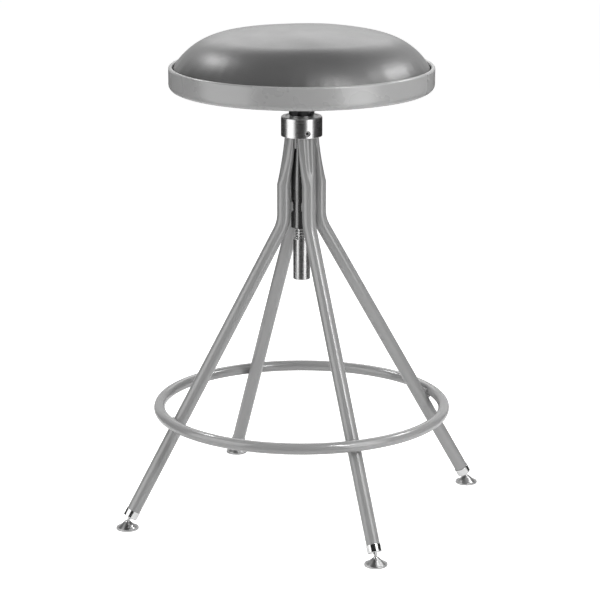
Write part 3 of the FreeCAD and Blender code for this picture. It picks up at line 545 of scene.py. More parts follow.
# %% Leg sizes
LEG_RADIUS = 0.009525
LEG_OFFSET = 0.026825
PLUG_REACH = 0.009
STRAIGHT_PARTS = 4
BEND_HEIGHT = 0.4202
BEND_RADIUS = 0.05
BEND_STEPS = 16
SWAGE_BOTTOM = 0.4753
SWAGE_STEPS = 48
CREASE_BOTTOM = 0.4783
LEG_TOP = 0.5447
PRESS_LEAD = 0.1
CRESCENT_OUTER = 0.0232
CRESCENT_INNER = 0.01535
CRESCENT_HALF_ANGLE = math.radians(40.5)
CRESCENT_EDGE_TURN = math.radians(105)
INWARD_START = math.radians(60)
INWARD_RUN = math.radians(72)
GROOVE_DEPTH = 0.0019
GROOVE_RUN = 0.022
RIDGE_TURN = math.radians(34)
SECTION_POINTS = 72

joints = {joint["name"]: joint for joint in frame["joints"]}
SIDES = {"right": 0, "back": 90, "left": 180, "front": 270}
side_turns = {side: Matrix.Rotation(math.radians(bearing), 4, "Z") for side, bearing in SIDES.items()}
balls = {side: Vector(joints["glide_tilt_" + side]["pos_m"]) for side in SIDES}
foot_radius = balls["right"].x
splay = math.atan2(foot_radius - LEG_OFFSET, BEND_HEIGHT - balls["right"].z)
print("splay", round(math.degrees(splay), 2), "degrees")

# %% Leg sections
def ease(value):
    """A smooth step from 0 to 1."""
    value = min(max(value, 0.0), 1.0)
    return value * value * (3 - 2 * value)


def crescent_point(turn):
    """Hub radius and hub angle of the pressed section at a turn round the tube, without the groove."""
    side = 1 if turn <= math.pi else -1
    turn = turn if turn <= math.pi else 2 * math.pi - turn
    if turn <= CRESCENT_EDGE_TURN:
        share = math.sin(turn / CRESCENT_EDGE_TURN * math.pi / 2)
    else:
        share = math.cos((turn - CRESCENT_EDGE_TURN) / (math.pi - CRESCENT_EDGE_TURN) * math.pi / 2)
    fall = ease((turn - INWARD_START) / INWARD_RUN)
    radius = CRESCENT_OUTER - (CRESCENT_OUTER - CRESCENT_INNER) * fall
    return radius, side * share * CRESCENT_HALF_ANGLE


def groove_at(turn):
    """How much of the groove's depth a point has: all of it at the middle, none from the ridges outwards."""
    turn = min(turn, 2 * math.pi - turn)
    if turn > RIDGE_TURN:
        return 0.0
    return (math.cos(turn / RIDGE_TURN * math.pi) + 1) / 2


def swage_section(height):
    """The section at a height in the swage, in the leg's own X and Y."""
    span = LEG_TOP - SWAGE_BOTTOM
    share = min(max((height - SWAGE_BOTTOM) / span, 0), 1)
    share = share + PRESS_LEAD * math.sin(math.pi * share)
    pressed = ease((height - CREASE_BOTTOM) / GROOVE_RUN)
    points = []
    for k in range(SECTION_POINTS):
        turn = 2 * math.pi * k / SECTION_POINTS
        tube = Vector((LEG_OFFSET + LEG_RADIUS * math.cos(turn), LEG_RADIUS * math.sin(turn)))
        radius, angle = crescent_point(turn)
        crescent = Vector((radius * math.cos(angle), radius * math.sin(angle)))
        point = tube.lerp(crescent, share)
        point -= point.normalized() * (GROOVE_DEPTH * pressed * groove_at(turn))
        points.append(Vector((point.x, point.y, height)))
    return points


print("section in the swage", len(swage_section(SWAGE_BOTTOM)), "points")

# %% Legs
def round_section(centre, lean):
    """A circle square to the leg's path. Lean is the path's angle from upright, in the leg's own plane."""
    outward = Vector((math.cos(lean), 0, math.sin(lean)))
    points = []
    for k in range(SECTION_POINTS):
        turn = 2 * math.pi * k / SECTION_POINTS
        across = Vector((0, LEG_RADIUS * math.sin(turn), 0))
        points.append(centre + outward * (LEG_RADIUS * math.cos(turn)) + across)
    return points


def leg_sections(ball_height):
    """All sections of a leg from its foot to its top: straight, bend, straight and swage."""
    along = Vector((-math.sin(splay), 0, math.cos(splay)))
    tangent = BEND_RADIUS * math.tan(splay / 2)
    foot = Vector((foot_radius, 0, ball_height)) + along * PLUG_REACH
    top = Vector((LEG_OFFSET, 0, BEND_HEIGHT)) - along * tangent
    sections = [round_section(foot.lerp(top, k / STRAIGHT_PARTS), splay) for k in range(STRAIGHT_PARTS)]
    centre = Vector((LEG_OFFSET + BEND_RADIUS, 0, BEND_HEIGHT + tangent))
    for step in range(BEND_STEPS + 1):
        lean = splay * (1 - step / BEND_STEPS)
        middle = centre - Vector((math.cos(lean), 0, math.sin(lean))) * BEND_RADIUS
        sections.append(round_section(middle, lean))
    straight_bottom = BEND_HEIGHT + tangent
    sections.append(round_section(Vector((LEG_OFFSET, 0, (straight_bottom + SWAGE_BOTTOM) / 2)), 0))
    for step in range(SWAGE_STEPS + 1):
        sections.append(swage_section(SWAGE_BOTTOM + (LEG_TOP - SWAGE_BOTTOM) * step / SWAGE_STEPS))
    return sections


def leg_mesh(side):
    """One leg on its side of the stool, capped at both ends."""
    rings = [[side_turns[side] @ point for point in section] for section in leg_sections(balls[side].z)]
    return lofted("leg_tube_" + side, rings, capped=True, sharp_degrees=50)


for side in SIDES:
    piece = show("leg_tube_" + side, leg_mesh(side), frame_enamel, "frame", ["leg_" + side])
    print(piece.name, len(piece.data.polygons), "faces")

# %% [markdown]
# The foot ring is a tube that follows a circle, which is a job for Geometry Nodes: one curve is the path,
# a small circle is the section, and Curve to Mesh sweeps it. The tree's named inputs are the ring's sizes.
# The result is read back as a plain mesh, one for its body, and the modifier goes with the helper object.
# Math nodes have a helper of their own, which the studio's shaders use too.

# %% Geometry Nodes helpers
def new_tree(name, sizes):
    """An empty Geometry Nodes tree with named number inputs and one geometry output."""
    tree = bpy.data.node_groups.new(name, "GeometryNodeTree")
    tree.interface.new_socket("Geometry", in_out="OUTPUT", socket_type="NodeSocketGeometry")
    for size, value in sizes.items():
        kind = "NodeSocketInt" if isinstance(value, int) else "NodeSocketFloat"
        socket = tree.interface.new_socket(size, in_out="INPUT", socket_type=kind)
        socket.default_value = value
    return tree


def close_tree(tree, geometry, material):
    """Realize Instances, Set Material, and the output."""
    real = laid(tree, "GeometryNodeRealizeInstances", {"Geometry": geometry}).outputs["Geometry"]
    painted = laid(tree, "GeometryNodeSetMaterial", {"Geometry": real, "Material": material})
    laid(tree, "NodeGroupOutput", {"Geometry": painted.outputs["Geometry"]})


def node_math(tree, kind, *terms):
    """The result of a Math node on sockets and numbers."""
    node = laid(tree, "ShaderNodeMath", dict(enumerate(terms)))
    node.operation = kind
    return node.outputs["Value"]


def grow(name, tree, sizes, sharp_degrees=40):
    """Run a tree with these inputs and give back the result as a plain mesh."""
    holder = placed(name + "_holder", bpy.data.meshes.new(name + "_holder"))
    modifier = holder.modifiers.new("nodes", "NODES")
    modifier.node_group = tree
    identifiers = {item.name: item.identifier for item in tree.interface.items_tree if item.in_out == "INPUT"}
    for size, value in sizes.items():
        modifier[identifiers[size]] = value
    mesh = baked(holder, name)
    settle(mesh, sharp_degrees)
    return mesh


print("tree helpers ready")

# %% Foot ring
RING_STEPS = 240
RING_TUBE_STEPS = 40
ring_low, ring_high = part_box("foot_ring")
RING_TUBE_RADIUS = (ring_high.z - ring_low.z) / 2
RING_RADIUS = ring_high.x - RING_TUBE_RADIUS
RING_HEIGHT = (ring_high.z + ring_low.z) / 2

ring_sizes = {"Ring Radius": RING_RADIUS, "Tube Radius": RING_TUBE_RADIUS, "Height": RING_HEIGHT,
              "Ring Steps": RING_STEPS, "Tube Steps": RING_TUBE_STEPS}
ring_tree = new_tree("foot_ring_tree", ring_sizes)
given = laid(ring_tree, "NodeGroupInput", {}).outputs
path = laid(ring_tree, "GeometryNodeCurvePrimitiveCircle", {
    "Radius": given["Ring Radius"], "Resolution": given["Ring Steps"]})
tube = laid(ring_tree, "GeometryNodeCurvePrimitiveCircle", {
    "Radius": given["Tube Radius"], "Resolution": given["Tube Steps"]})
sweep = laid(ring_tree, "GeometryNodeCurveToMesh", {
    "Curve": path.outputs["Curve"], "Profile Curve": tube.outputs["Curve"]})
offset = laid(ring_tree, "ShaderNodeCombineXYZ", {"Z": given["Height"]})
lift = laid(ring_tree, "GeometryNodeTransform", {
    "Geometry": sweep.outputs["Mesh"], "Translation": offset.outputs["Vector"]})
close_tree(ring_tree, lift.outputs["Geometry"], frame_enamel)

ring_mesh = grow("foot_ring_tube", ring_tree, ring_sizes)
show("foot_ring_tube", ring_mesh, frame_enamel, "frame", ["foot_ring"])
print("foot ring", round(RING_RADIUS * 2000), "mm across its tube's middle")

# %% [markdown]
# A weld bead is a row of small overlapping puddles, each frozen a moment after the last. Geometry Nodes
# place them: points along a curve, a flattened ball on each, a little random size from a fixed seed. The
# same tree makes the beads at the ring, the seams between the leg tops and the beads on the guide tube.

# %% Weld beads
WELD_SEED = 7
PUDDLE_DETAIL = 3
PUDDLE_SMALL = 0.82
PUDDLE_LARGE = 1.05

weld_tree = new_tree("weld_tree", {"Start X": 0.0, "Start Y": 0.0, "Start Z": 0.0, "End X": 0.0, "End Y": 0.0,
                                   "End Z": 0.01, "Bead Radius": 0.003, "Puddles": 7, "Seed": WELD_SEED})
given = laid(weld_tree, "NodeGroupInput", {}).outputs
start = laid(weld_tree, "ShaderNodeCombineXYZ", {axis: given["Start " + axis] for axis in "XYZ"})
end = laid(weld_tree, "ShaderNodeCombineXYZ", {axis: given["End " + axis] for axis in "XYZ"})
line = laid(weld_tree, "GeometryNodeCurvePrimitiveLine", {
    "Start": start.outputs["Vector"], "End": end.outputs["Vector"]})
spread = laid(weld_tree, "GeometryNodeCurveToPoints", {
    "Curve": line.outputs["Curve"], "Count": given["Puddles"]})
spread.mode = "COUNT"
puddle = laid(weld_tree, "GeometryNodeMeshIcoSphere", {
    "Radius": given["Bead Radius"], "Subdivisions": PUDDLE_DETAIL})
size = laid(weld_tree, "FunctionNodeRandomValue", {"Seed": given["Seed"]})
size.data_type = "FLOAT_VECTOR"
size.inputs["Min"].default_value = (PUDDLE_SMALL, PUDDLE_SMALL, PUDDLE_SMALL)
size.inputs["Max"].default_value = (PUDDLE_LARGE, PUDDLE_LARGE, PUDDLE_LARGE)
drop = laid(weld_tree, "GeometryNodeInstanceOnPoints", {
    "Points": spread.outputs["Points"], "Instance": puddle.outputs["Mesh"], "Scale": size.outputs["Value"]})
close_tree(weld_tree, drop.outputs["Instances"], frame_enamel)


def weld_line(name, start_point, end_point, radius, puddles, seed):
    """A bead from one point to another, as a mesh."""
    sizes = {"Bead Radius": radius, "Puddles": puddles, "Seed": seed}
    for axis, a, b in zip("XYZ", start_point, end_point):
        sizes["Start " + axis] = float(a)
        sizes["End " + axis] = float(b)
    return grow(name, weld_tree, sizes, sharp_degrees=60)


def joined(name, meshes):
    """Several meshes as one."""
    work = bmesh.new()
    for mesh in meshes:
        work.from_mesh(mesh)
    whole = bpy.data.meshes.new(name)
    work.to_mesh(whole)
    work.free()
    whole.shade_smooth()
    return whole


print("weld tree nodes", len(weld_tree.nodes))

# %% Welds at the ring
RING_BEAD_HALF = 0.0052
RING_BEAD_ASIDE = 0.0022
RING_BEAD_RADIUS = 0.0034
RING_BEAD_PUDDLES = 6


def on_side(side, point):
    """A point of the right side turned to another side of the stool."""
    return side_turns[side] @ Vector(point)


touch = Vector((RING_RADIUS - RING_TUBE_RADIUS * math.cos(splay), 0,
                RING_HEIGHT - RING_TUBE_RADIUS * math.sin(splay)))
down_leg = Vector((math.sin(splay), 0, -math.cos(splay))) * RING_BEAD_HALF
beads = []
for number, side in enumerate(SIDES):
    for hand in (-1, 1):
        aside = Vector((0, hand * RING_BEAD_ASIDE, 0))
        lower, upper = on_side(side, touch + down_leg + aside), on_side(side, touch - down_leg + aside)
        beads.append(weld_line(f"ring_bead_{side}_{hand}", lower, upper, RING_BEAD_RADIUS, RING_BEAD_PUDDLES,
                               WELD_SEED + number))
ring_beads = joined("ring_weld_beads", beads)
show("ring_weld_beads", ring_beads, frame_enamel, "frame", ["ring_welds"])
print("ring beads", len(beads))

# %% Welds at the hub
SEAM_BEARING = math.radians(45)
SEAM_OUT = 0.0216
SEAM_HEIGHTS = (0.5288, 0.5408)
SEAM_RADIUS = 0.0018
SEAM_PUDDLES = 9
TUBE_BEAD_CLEAR = 0.0004
TUBE_BEAD_HEIGHTS = (0.4395, 0.4485)
TUBE_BEAD_RADIUS = 0.0029
TUBE_BEAD_PUDDLES = 6
TUBE_BEAD_SEED = WELD_SEED + 10


def upright_bead(name, side, foot, heights, radius, puddles, seed):
    """A bead that runs straight up between two heights on one side of the hub."""
    lower, upper = (on_side(side, foot + Vector((0, 0, height))) for height in heights)
    return weld_line(name, lower, upper, radius, puddles, seed)


seam = Matrix.Rotation(SEAM_BEARING, 3, "Z") @ Vector((SEAM_OUT, 0, 0))
reach = LEG_OFFSET - LEG_RADIUS + TUBE_BEAD_CLEAR
beads = []
for number, side in enumerate(SIDES):
    beads.append(upright_bead(f"seam_{side}", side, seam, SEAM_HEIGHTS, SEAM_RADIUS, SEAM_PUDDLES,
                              WELD_SEED + number))
    for hand in (-1, 1):
        flank = math.atan2(LEG_RADIUS / 2, LEG_OFFSET - LEG_RADIUS) * hand
        foot = Vector((reach * math.cos(flank), reach * math.sin(flank), 0))
        beads.append(upright_bead(f"tube_bead_{side}_{hand}", side, foot, TUBE_BEAD_HEIGHTS, TUBE_BEAD_RADIUS,
                                  TUBE_BEAD_PUDDLES, TUBE_BEAD_SEED + number))
hub_beads = joined("hub_weld_beads", beads)
show("hub_weld_beads", hub_beads, frame_enamel, "frame", ["hub_welds"])
print("hub beads", len(beads))

# %% [markdown]
# The lift screw carries the seat. Its thread is a rule, not a shape: the radius at a point depends only on
# how far round and how far up the point is. A grid rolled into a cylinder by Geometry Nodes follows that
# rule exactly. The pitch is 4 mm, so one turn of the seat lifts it by 4 mm.

# %% Screw sizes
spindle_low, spindle_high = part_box("spindle")
sleeve_low, sleeve_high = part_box("guide_sleeve")
SLEEVE_GAP = 0.0001
SCREW_RADIUS = spindle_high.x
SCREW_TOP = spindle_high.z
SCREW_BOTTOM = sleeve_high.z + SLEEVE_GAP
PITCH = 0.004
THREAD_DEPTH = 0.0016
CREST_HALF = 0.1
FLANK_END = 0.4
STEPS_PER_TURN = 40
STEPS_PER_PITCH = 10

pitches = (SCREW_TOP - SCREW_BOTTOM) / PITCH
thread_sizes = {"Radius": SCREW_RADIUS, "Depth": THREAD_DEPTH, "Pitch": PITCH, "Bottom": SCREW_BOTTOM,
                "Length": SCREW_TOP - SCREW_BOTTOM, "Steps Round": STEPS_PER_TURN + 1,
                "Steps Up": int(pitches * STEPS_PER_PITCH) + 1}
print("screw", round((SCREW_TOP - SCREW_BOTTOM) * 1000, 1), "mm long")

# %% Thread tree
tree = new_tree("thread_tree", thread_sizes)
given = laid(tree, "NodeGroupInput", {}).outputs
grid = laid(tree, "GeometryNodeMeshGrid", {
    "Size X": 1.0, "Size Y": 1.0, "Vertices X": given["Steps Round"], "Vertices Y": given["Steps Up"]})
position = laid(tree, "GeometryNodeInputPosition", {})
shares = laid(tree, "ShaderNodeSeparateXYZ", {"Vector": position.outputs["Position"]}).outputs
turn_share = node_math(tree, "ADD", shares["X"], 0.5)
rise_share = node_math(tree, "ADD", shares["Y"], 0.5)
angle = node_math(tree, "MULTIPLY", turn_share, 2 * math.pi)
rise = node_math(tree, "MULTIPLY", rise_share, given["Length"])
wave = node_math(tree, "SUBTRACT", node_math(tree, "DIVIDE", rise, given["Pitch"]), turn_share)
tooth = node_math(tree, "PINGPONG", wave, 0.5)
flank = laid(tree, "ShaderNodeMapRange", {"Value": tooth, "From Min": CREST_HALF, "From Max": FLANK_END})
flank.interpolation_type = "SMOOTHSTEP"
cut_depth = node_math(tree, "MULTIPLY", flank.outputs["Result"], given["Depth"])
radius = node_math(tree, "SUBTRACT", given["Radius"], cut_depth)
spot = laid(tree, "ShaderNodeCombineXYZ", {
    "X": node_math(tree, "MULTIPLY", radius, node_math(tree, "COSINE", angle)),
    "Y": node_math(tree, "MULTIPLY", radius, node_math(tree, "SINE", angle)),
    "Z": node_math(tree, "ADD", rise, given["Bottom"])})
bend = laid(tree, "GeometryNodeSetPosition", {
    "Geometry": grid.outputs["Mesh"], "Position": spot.outputs["Vector"]})
close_tree(tree, bend.outputs["Geometry"], bright_plate)
print("thread tree nodes", len(tree.nodes))

# %% Lift screw
JOURNAL_RADIUS = 0.006
JOURNAL_OVERLAP = 0.001
SEAM_MERGE = 0.00005
THREAD_SHARP = 50

thread_mesh = grow("lift_screw", tree, thread_sizes, THREAD_SHARP)
work = bmesh.new()
work.from_mesh(thread_mesh)
bmesh.ops.remove_doubles(work, verts=work.verts, dist=SEAM_MERGE)
open_edges = [edge for edge in work.edges if edge.is_boundary]
bmesh.ops.holes_fill(work, edges=open_edges, sides=0)
work.to_mesh(thread_mesh)
work.free()
settle(thread_mesh, THREAD_SHARP)
journal_top = SCREW_BOTTOM + JOURNAL_OVERLAP
journal_section = rounded([(0, journal_top, 0), (JOURNAL_RADIUS, journal_top, 0),
                           (JOURNAL_RADIUS, spindle_low.z, 0.0005), (0, spindle_low.z, 0)], closed=False)
journal = turned("journal", journal_section, segments=48, closed=False)
screw_mesh = joined("lift_screw", [thread_mesh, journal])
screw_mesh.set_sharp_from_angle(angle=math.radians(THREAD_SHARP))
show("lift_screw", screw_mesh, bright_plate, "seat", ["spindle"])
print("screw faces", len(screw_mesh.polygons))

# %% [markdown]
# The sleeve below the thread runs free on the screw's journal. It is turned from bar, with a soft lower edge
# and a recess that hides the keeper washer and screw.

# %% Guide sleeve
SLEEVE_PLAY = 0.00006
RECESS_WALL = 0.0025
RECESS_DEPTH = 0.007

sleeve_radius = sleeve_high.x
sleeve_bore = JOURNAL_RADIUS + SLEEVE_PLAY
recess_radius = sleeve_radius - RECESS_WALL
recess_top = sleeve_low.z + RECESS_DEPTH
sleeve_section = rounded([
    (recess_radius, sleeve_low.z, 0.0004), (sleeve_radius, sleeve_low.z, 0.0015),
    (sleeve_radius, sleeve_high.z, 0.0008), (sleeve_bore, sleeve_high.z, 0.0002),
    (sleeve_bore, recess_top, 0.0002), (recess_radius, recess_top, 0.0003)])
show("sleeve_tube", turned("sleeve_tube", sleeve_section), sleeve_plate, "sleeve",
     ["guide_sleeve"])
print("sleeve", round((sleeve_high.z - sleeve_low.z) * 1000, 1), "mm long")

# %% [markdown]
# Under each leg sits a swivel glide: a flat plated cone on a thick rim, crimped round a ball. The ball's neck
# goes into the leg through a plated cup. Cup and stud lean with the leg and belong to the frame, while the
# glide stands level and is its own body, because it swivels.

# %% Foot sizes
GLIDE_RADIUS = 0.0159
RIM_HEIGHT = 0.0032
RIM_EDGE = 0.0017
RIM_STEP_RUN = 0.0022
RIM_STEP = 0.0005
GLIDE_LIP = 0.0012
LIP_EDGE = 0.0007
SOCKET_RADIUS = 0.004
SOCKET_STEPS = 12
BALL_RADIUS = 0.0039
BALL_STEPS = 20
NECK_RADIUS = 0.0025
NECK_PLAY = 0.0001
BOOT_GAP = 0.0076
BOOT_LENGTH = 0.0112
BOOT_FLOOR = 0.0013
BOOT_PLAY = 0.00008
BOOT_WALL = 0.0006
TUBE_WALL = 0.0016
PLUG_LIFT = 0.0014
PLUG_LENGTH = 0.014
STUD_LENGTH = 0.021

BOOT_INNER = LEG_RADIUS + BOOT_PLAY
BOOT_OUTER = BOOT_INNER + BOOT_WALL
PLUG_RADIUS = LEG_RADIUS - TUBE_WALL
PLUG_BOTTOM = BOOT_GAP + PLUG_LIFT
PLUG_TOP = PLUG_BOTTOM + PLUG_LENGTH
STUD_TOP = PLUG_BOTTOM + STUD_LENGTH
print("glides", round(GLIDE_RADIUS * 2000, 1), "mm across")


# %% Foot sections
def arc(radius, middle_height, turns):
    """Section points on a ball about the axis. A turn of 0 is straight down."""
    return [Vector((radius * math.sin(turn), middle_height - radius * math.cos(turn))) for turn in turns]


def boot_section():
    """The cup on a leg's end, open at its top, with a hole for the neck."""
    top, bottom, inner = BOOT_GAP + BOOT_LENGTH, BOOT_GAP, BOOT_GAP + BOOT_FLOOR
    hole = NECK_RADIUS + NECK_PLAY
    return rounded([(hole, bottom, 0.0002), (BOOT_OUTER, bottom, 0.0013), (BOOT_OUTER, top, 0.00025),
                    (BOOT_INNER, top, 0.0002), (BOOT_INNER, inner, 0.0003), (hole, inner, 0.0002)])


def stud_section():
    """The ball, its neck, and the plug that grips in the tube."""
    neck_turn = math.asin(NECK_RADIUS / BALL_RADIUS)
    turns = [(math.pi - neck_turn) * step / BALL_STEPS for step in range(BALL_STEPS + 1)]
    ball_points = arc(BALL_RADIUS, 0, turns)
    ball_points[0].x = 0
    tail = [(NECK_RADIUS, PLUG_BOTTOM, 0), (PLUG_RADIUS, PLUG_BOTTOM, 0.0003),
            (PLUG_RADIUS, PLUG_TOP, 0.0008), (NECK_RADIUS, PLUG_TOP, 0.0003),
            (NECK_RADIUS, STUD_TOP, 0.0006), (0, STUD_TOP, 0)]
    return ball_points + rounded(tail, closed=False)


def glide_section(ball_height):
    """The glide's flat foot, rim, cone and lip, and the socket round the ball."""
    top = ball_height + GLIDE_LIP
    mouth = math.sqrt(SOCKET_RADIUS**2 - GLIDE_LIP**2)
    outline = rounded([
        (0, 0, 0), (GLIDE_RADIUS, 0, 0.001), (GLIDE_RADIUS, RIM_HEIGHT, 0.0009),
        (GLIDE_RADIUS - RIM_EDGE, RIM_HEIGHT, 0.0005),
        (GLIDE_RADIUS - RIM_STEP_RUN, RIM_HEIGHT - RIM_STEP, 0.0003),
        (mouth + LIP_EDGE, top, 0.0004), (mouth, top, 0.0002)], closed=False)
    start = math.asin(mouth / SOCKET_RADIUS)
    turns = [(math.pi - start) * (1 - step / SOCKET_STEPS) for step in range(1, SOCKET_STEPS + 1)]
    socket = arc(SOCKET_RADIUS, ball_height, turns)
    socket[-1].x = 0
    return outline + socket


print("section of a glide", len(glide_section(balls["right"].z)), "points")

# %% Feet
for side in SIDES:
    ball = balls[side]
    tilted = Matrix.Translation(ball) @ (side_turns[side] @ Matrix.Rotation(-splay, 4, "Y"))
    level = Matrix.Translation((ball.x, ball.y, 0))
    boot = turned("boot_cup_" + side, boot_section(), tilted, segments=64)
    stud = turned("stud_" + side, stud_section(), tilted, segments=48, closed=False)
    glide = turned("glide_" + side, glide_section(ball.z), level, segments=72, closed=False)
    show("boot_cup_" + side, boot, bright_plate, "frame", ["boot_" + side])
    show("stud_" + side, stud, bright_plate, "frame", ["ball_stud_" + side])
    show("glide_" + side, glide, glide_plate, "glide_" + side, ["glide_base_" + side])
print("feet", len(SIDES))

# %% [markdown]
# The pan is a pressed dish with an upright rim, and its lip is rolled over into a bead. Its section has only
# a few corners, but the lower corner is wide and soft, so it catches a long highlight.

# %% Seat pan
pan_low, pan_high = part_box("seat_pan")
PAN_SHEET = 0.0015
PAN_CORNER = 0.009
PAN_BEAD = 0.003
PAN_BEAD_TURN = math.radians(250)
PAN_BEAD_POINTS = 26
PAN_BEAD_DROP = 0.0004
PAN_HOLE = 0.0125

pan_radius = pan_high.x
pan_inner = pan_radius - PAN_SHEET
pan_floor = pan_low.z + PAN_SHEET
wall_top = pan_high.z - 2 * PAN_BEAD - PAN_BEAD_DROP
bead_centre = Vector((pan_radius - PAN_BEAD, pan_high.z - PAN_BEAD))
bead = [bead_centre + Vector((math.cos(turn), math.sin(turn))) * PAN_BEAD
        for turn in np.linspace(0, PAN_BEAD_TURN, PAN_BEAD_POINTS)]
outside = rounded([
    (PAN_HOLE, pan_low.z, 0), (pan_radius, pan_low.z, PAN_CORNER), (*bead[0], 0)], closed=False)
inside = rounded([
    (*bead[-1], 0), (pan_inner, wall_top, 0.0004),
    (pan_inner, pan_floor, PAN_CORNER - PAN_SHEET), (PAN_HOLE, pan_floor, 0)], closed=False)
pan_section = outside[:-1] + bead + inside[1:]
pan_mesh = turned("pan_shell", pan_section, segments=240, sharp_degrees=50)
show("pan_shell", pan_mesh, pan_enamel, "seat", ["seat_pan"])
print("pan", round(pan_radius * 2000, 1), "mm across")

# %% [markdown]
# The cushion is a round pad of foam under a stretched vinyl cover. It crowns in the middle, rolls over at
# the shoulder and pulls in where it meets the pan. The form is a row of rings: the crown is a wide arc, the
# shoulder a tighter one. A real cover is never perfect, so it gets a very shallow, slow unevenness, and
# faint gathers near the lip where the vinyl is pulled down over the board's edge. Near the middle, where all
# rings are small, the unevenness eases out.

# %% Cushion
cover_low, cover_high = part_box("seat_cover")
CROWN_RADIUS = 0.570
SHOULDER_TURN = math.radians(60)
SHOULDER_WIDTH = 0.060
CUSHION_RADIUS = cover_high.x
FOOT_INSET = 0.004
CUSHION_FOOT = CUSHION_RADIUS - FOOT_INSET
LIP_ROLL = 0.012
TUCK_ROLL = 0.003
TUCK = 0.03
ARC_POINTS = 60
CUSHION_RINGS = 90
CUSHION_SEGMENTS = 220

shoulder_start = CUSHION_RADIUS - SHOULDER_WIDTH
lean = math.asin(shoulder_start / CROWN_RADIUS)
shoulder_radius = SHOULDER_WIDTH / (math.sin(SHOULDER_TURN) - math.sin(lean))
crown_centre = cover_high.z - CROWN_RADIUS
apart = CROWN_RADIUS - shoulder_radius
shoulder_centre = Vector((apart * math.sin(lean), crown_centre + apart * math.cos(lean)))


def cushion_profile():
    """The outside of the cover from its top to its tucked edge, as points."""
    points = [Vector((CROWN_RADIUS * math.sin(turn), crown_centre + CROWN_RADIUS * math.cos(turn)))
              for turn in np.linspace(0, lean, ARC_POINTS)]
    points += [shoulder_centre + Vector((math.sin(turn), math.cos(turn))) * shoulder_radius
               for turn in np.linspace(lean, SHOULDER_TURN, ARC_POINTS)[1:]]
    points += rounded([(*points[-2], 0), (*points[-1], LIP_ROLL), (CUSHION_FOOT, cover_low.z, TUCK_ROLL),
                       (CUSHION_FOOT - TUCK, cover_low.z, 0)], False)[1:]
    return points


def evenly(points, count):
    """The same line with points at equal distances."""
    array = np.array([tuple(point) for point in points])
    lengths = np.concatenate(([0], np.cumsum(np.linalg.norm(np.diff(array, axis=0), axis=1))))
    wanted = np.linspace(0, lengths[-1], count)
    columns = (np.interp(wanted, lengths, array[:, 0]), np.interp(wanted, lengths, array[:, 1]))
    return [Vector(point) for point in zip(*columns)]


cushion_points = evenly(cushion_profile(), CUSHION_RINGS)
cushion_points[0].x = 0
floor_points = [Vector((0, cover_low.z))]
cushion_mesh = turned("cushion", cushion_points + floor_points, segments=CUSHION_SEGMENTS, closed=False,
                      sharp_degrees=70)
print("cushion points", len(cushion_mesh.vertices))

# %% Unevenness of the cover
LOBES, LOBES_START, LOBES_OUT = 3, 0.7, 22
SPIRAL, SPIRAL_START, SPIRAL_OUT, SPIRAL_SHARE = 5, 2.1, 18, 0.6
UNEVEN_DEPTH = 0.00035
CALM_RADIUS = 0.08
GATHERS = 46
GATHER_DEPTH = 0.0002
GATHER_DRIFT, DRIFT_LOBES = 1.3, 7
GATHER_FROM = 0.15
GATHER_RUN = 0.025
GATHER_FADE = 0.01
FOOT_HEIGHT = 0.001

for vertex in cushion_mesh.vertices:
    x, y, z = vertex.co
    out = math.hypot(x, y)
    bearing = math.atan2(y, x)
    slow = (math.sin(LOBES * bearing + LOBES_START) * math.sin(LOBES_OUT * out)
            + SPIRAL_SHARE * math.sin(SPIRAL * bearing + SPIRAL_START + SPIRAL_OUT * out))
    slow *= ease(out / CALM_RADIUS)
    near_lip = ease((out - GATHER_FROM) / GATHER_RUN) * ease((z - cover_low.z) / GATHER_FADE)
    gather = math.sin(GATHERS * bearing + GATHER_DRIFT * math.sin(DRIFT_LOBES * bearing)) * near_lip
    if z > cover_low.z + FOOT_HEIGHT:
        vertex.co.z += UNEVEN_DEPTH * slow
        scale = 1 - GATHER_DEPTH * gather / max(out, GATHER_DEPTH)
        vertex.co.x *= scale
        vertex.co.y *= scale
cushion = show("cushion", cushion_mesh, grey_vinyl, "seat", ["seat_cover", "seat_foam"])
print("crown", round(cover_high.z * 1000, 1), "mm above the floor")

# %% [markdown]
# The studio is a roll of white paper that hangs behind the stool and runs out under it, with a dark room
# round it. Plated steel shows such a room as white and dark bands, which is how the photograph looks. The
# camera sees white everywhere. Reflections see white only where the paper and the soft boxes are.

# %% Where the paper is
PAPER_HALF_WIDTH = 0.55
PAPER_FRONT = 0.35
PAPER_EDGE = 0.35
ROOM_GREY = 0.03
toward_camera = Vector((-around_x, -around_y, 0))
to_the_right = Vector((around_y, -around_x, 0))


def along(tree, point, way):
    """How far a point or direction reaches along a way."""
    node = laid(tree, "ShaderNodeVectorMath", {0: point, 1: way})
    node.operation = "DOT_PRODUCT"
    return node.outputs["Value"]


def fade(tree, value, start, end):
    """1 up to the start, falling smoothly to 0 at the end."""
    node = laid(tree, "ShaderNodeMapRange", {
        "Value": value, "From Min": start, "From Max": end, "To Min": 1.0, "To Max": 0.0})
    node.interpolation_type = "SMOOTHSTEP"
    return node.outputs["Result"]


def mirrored(tree):
    """1 for glossy and transmitted rays."""
    rays = laid(tree, "ShaderNodeLightPath", {}).outputs
    return node_math(tree, "MAXIMUM", rays["Is Glossy Ray"], rays["Is Transmission Ray"])


def seen_strength(tree, paper, share):
    """Strength 1 for the camera. Mirrored rays see a share of it on the paper and the room's grey off it."""
    rays = laid(tree, "ShaderNodeLightPath", {}).outputs
    bright = node_math(tree, "MAXIMUM", node_math(tree, "MULTIPLY", paper, share), ROOM_GREY)
    reflected = node_math(tree, "MULTIPLY", mirrored(tree), bright)
    return node_math(tree, "MAXIMUM", rays["Is Camera Ray"], reflected)


print("paper", 2 * PAPER_HALF_WIDTH, "m wide")

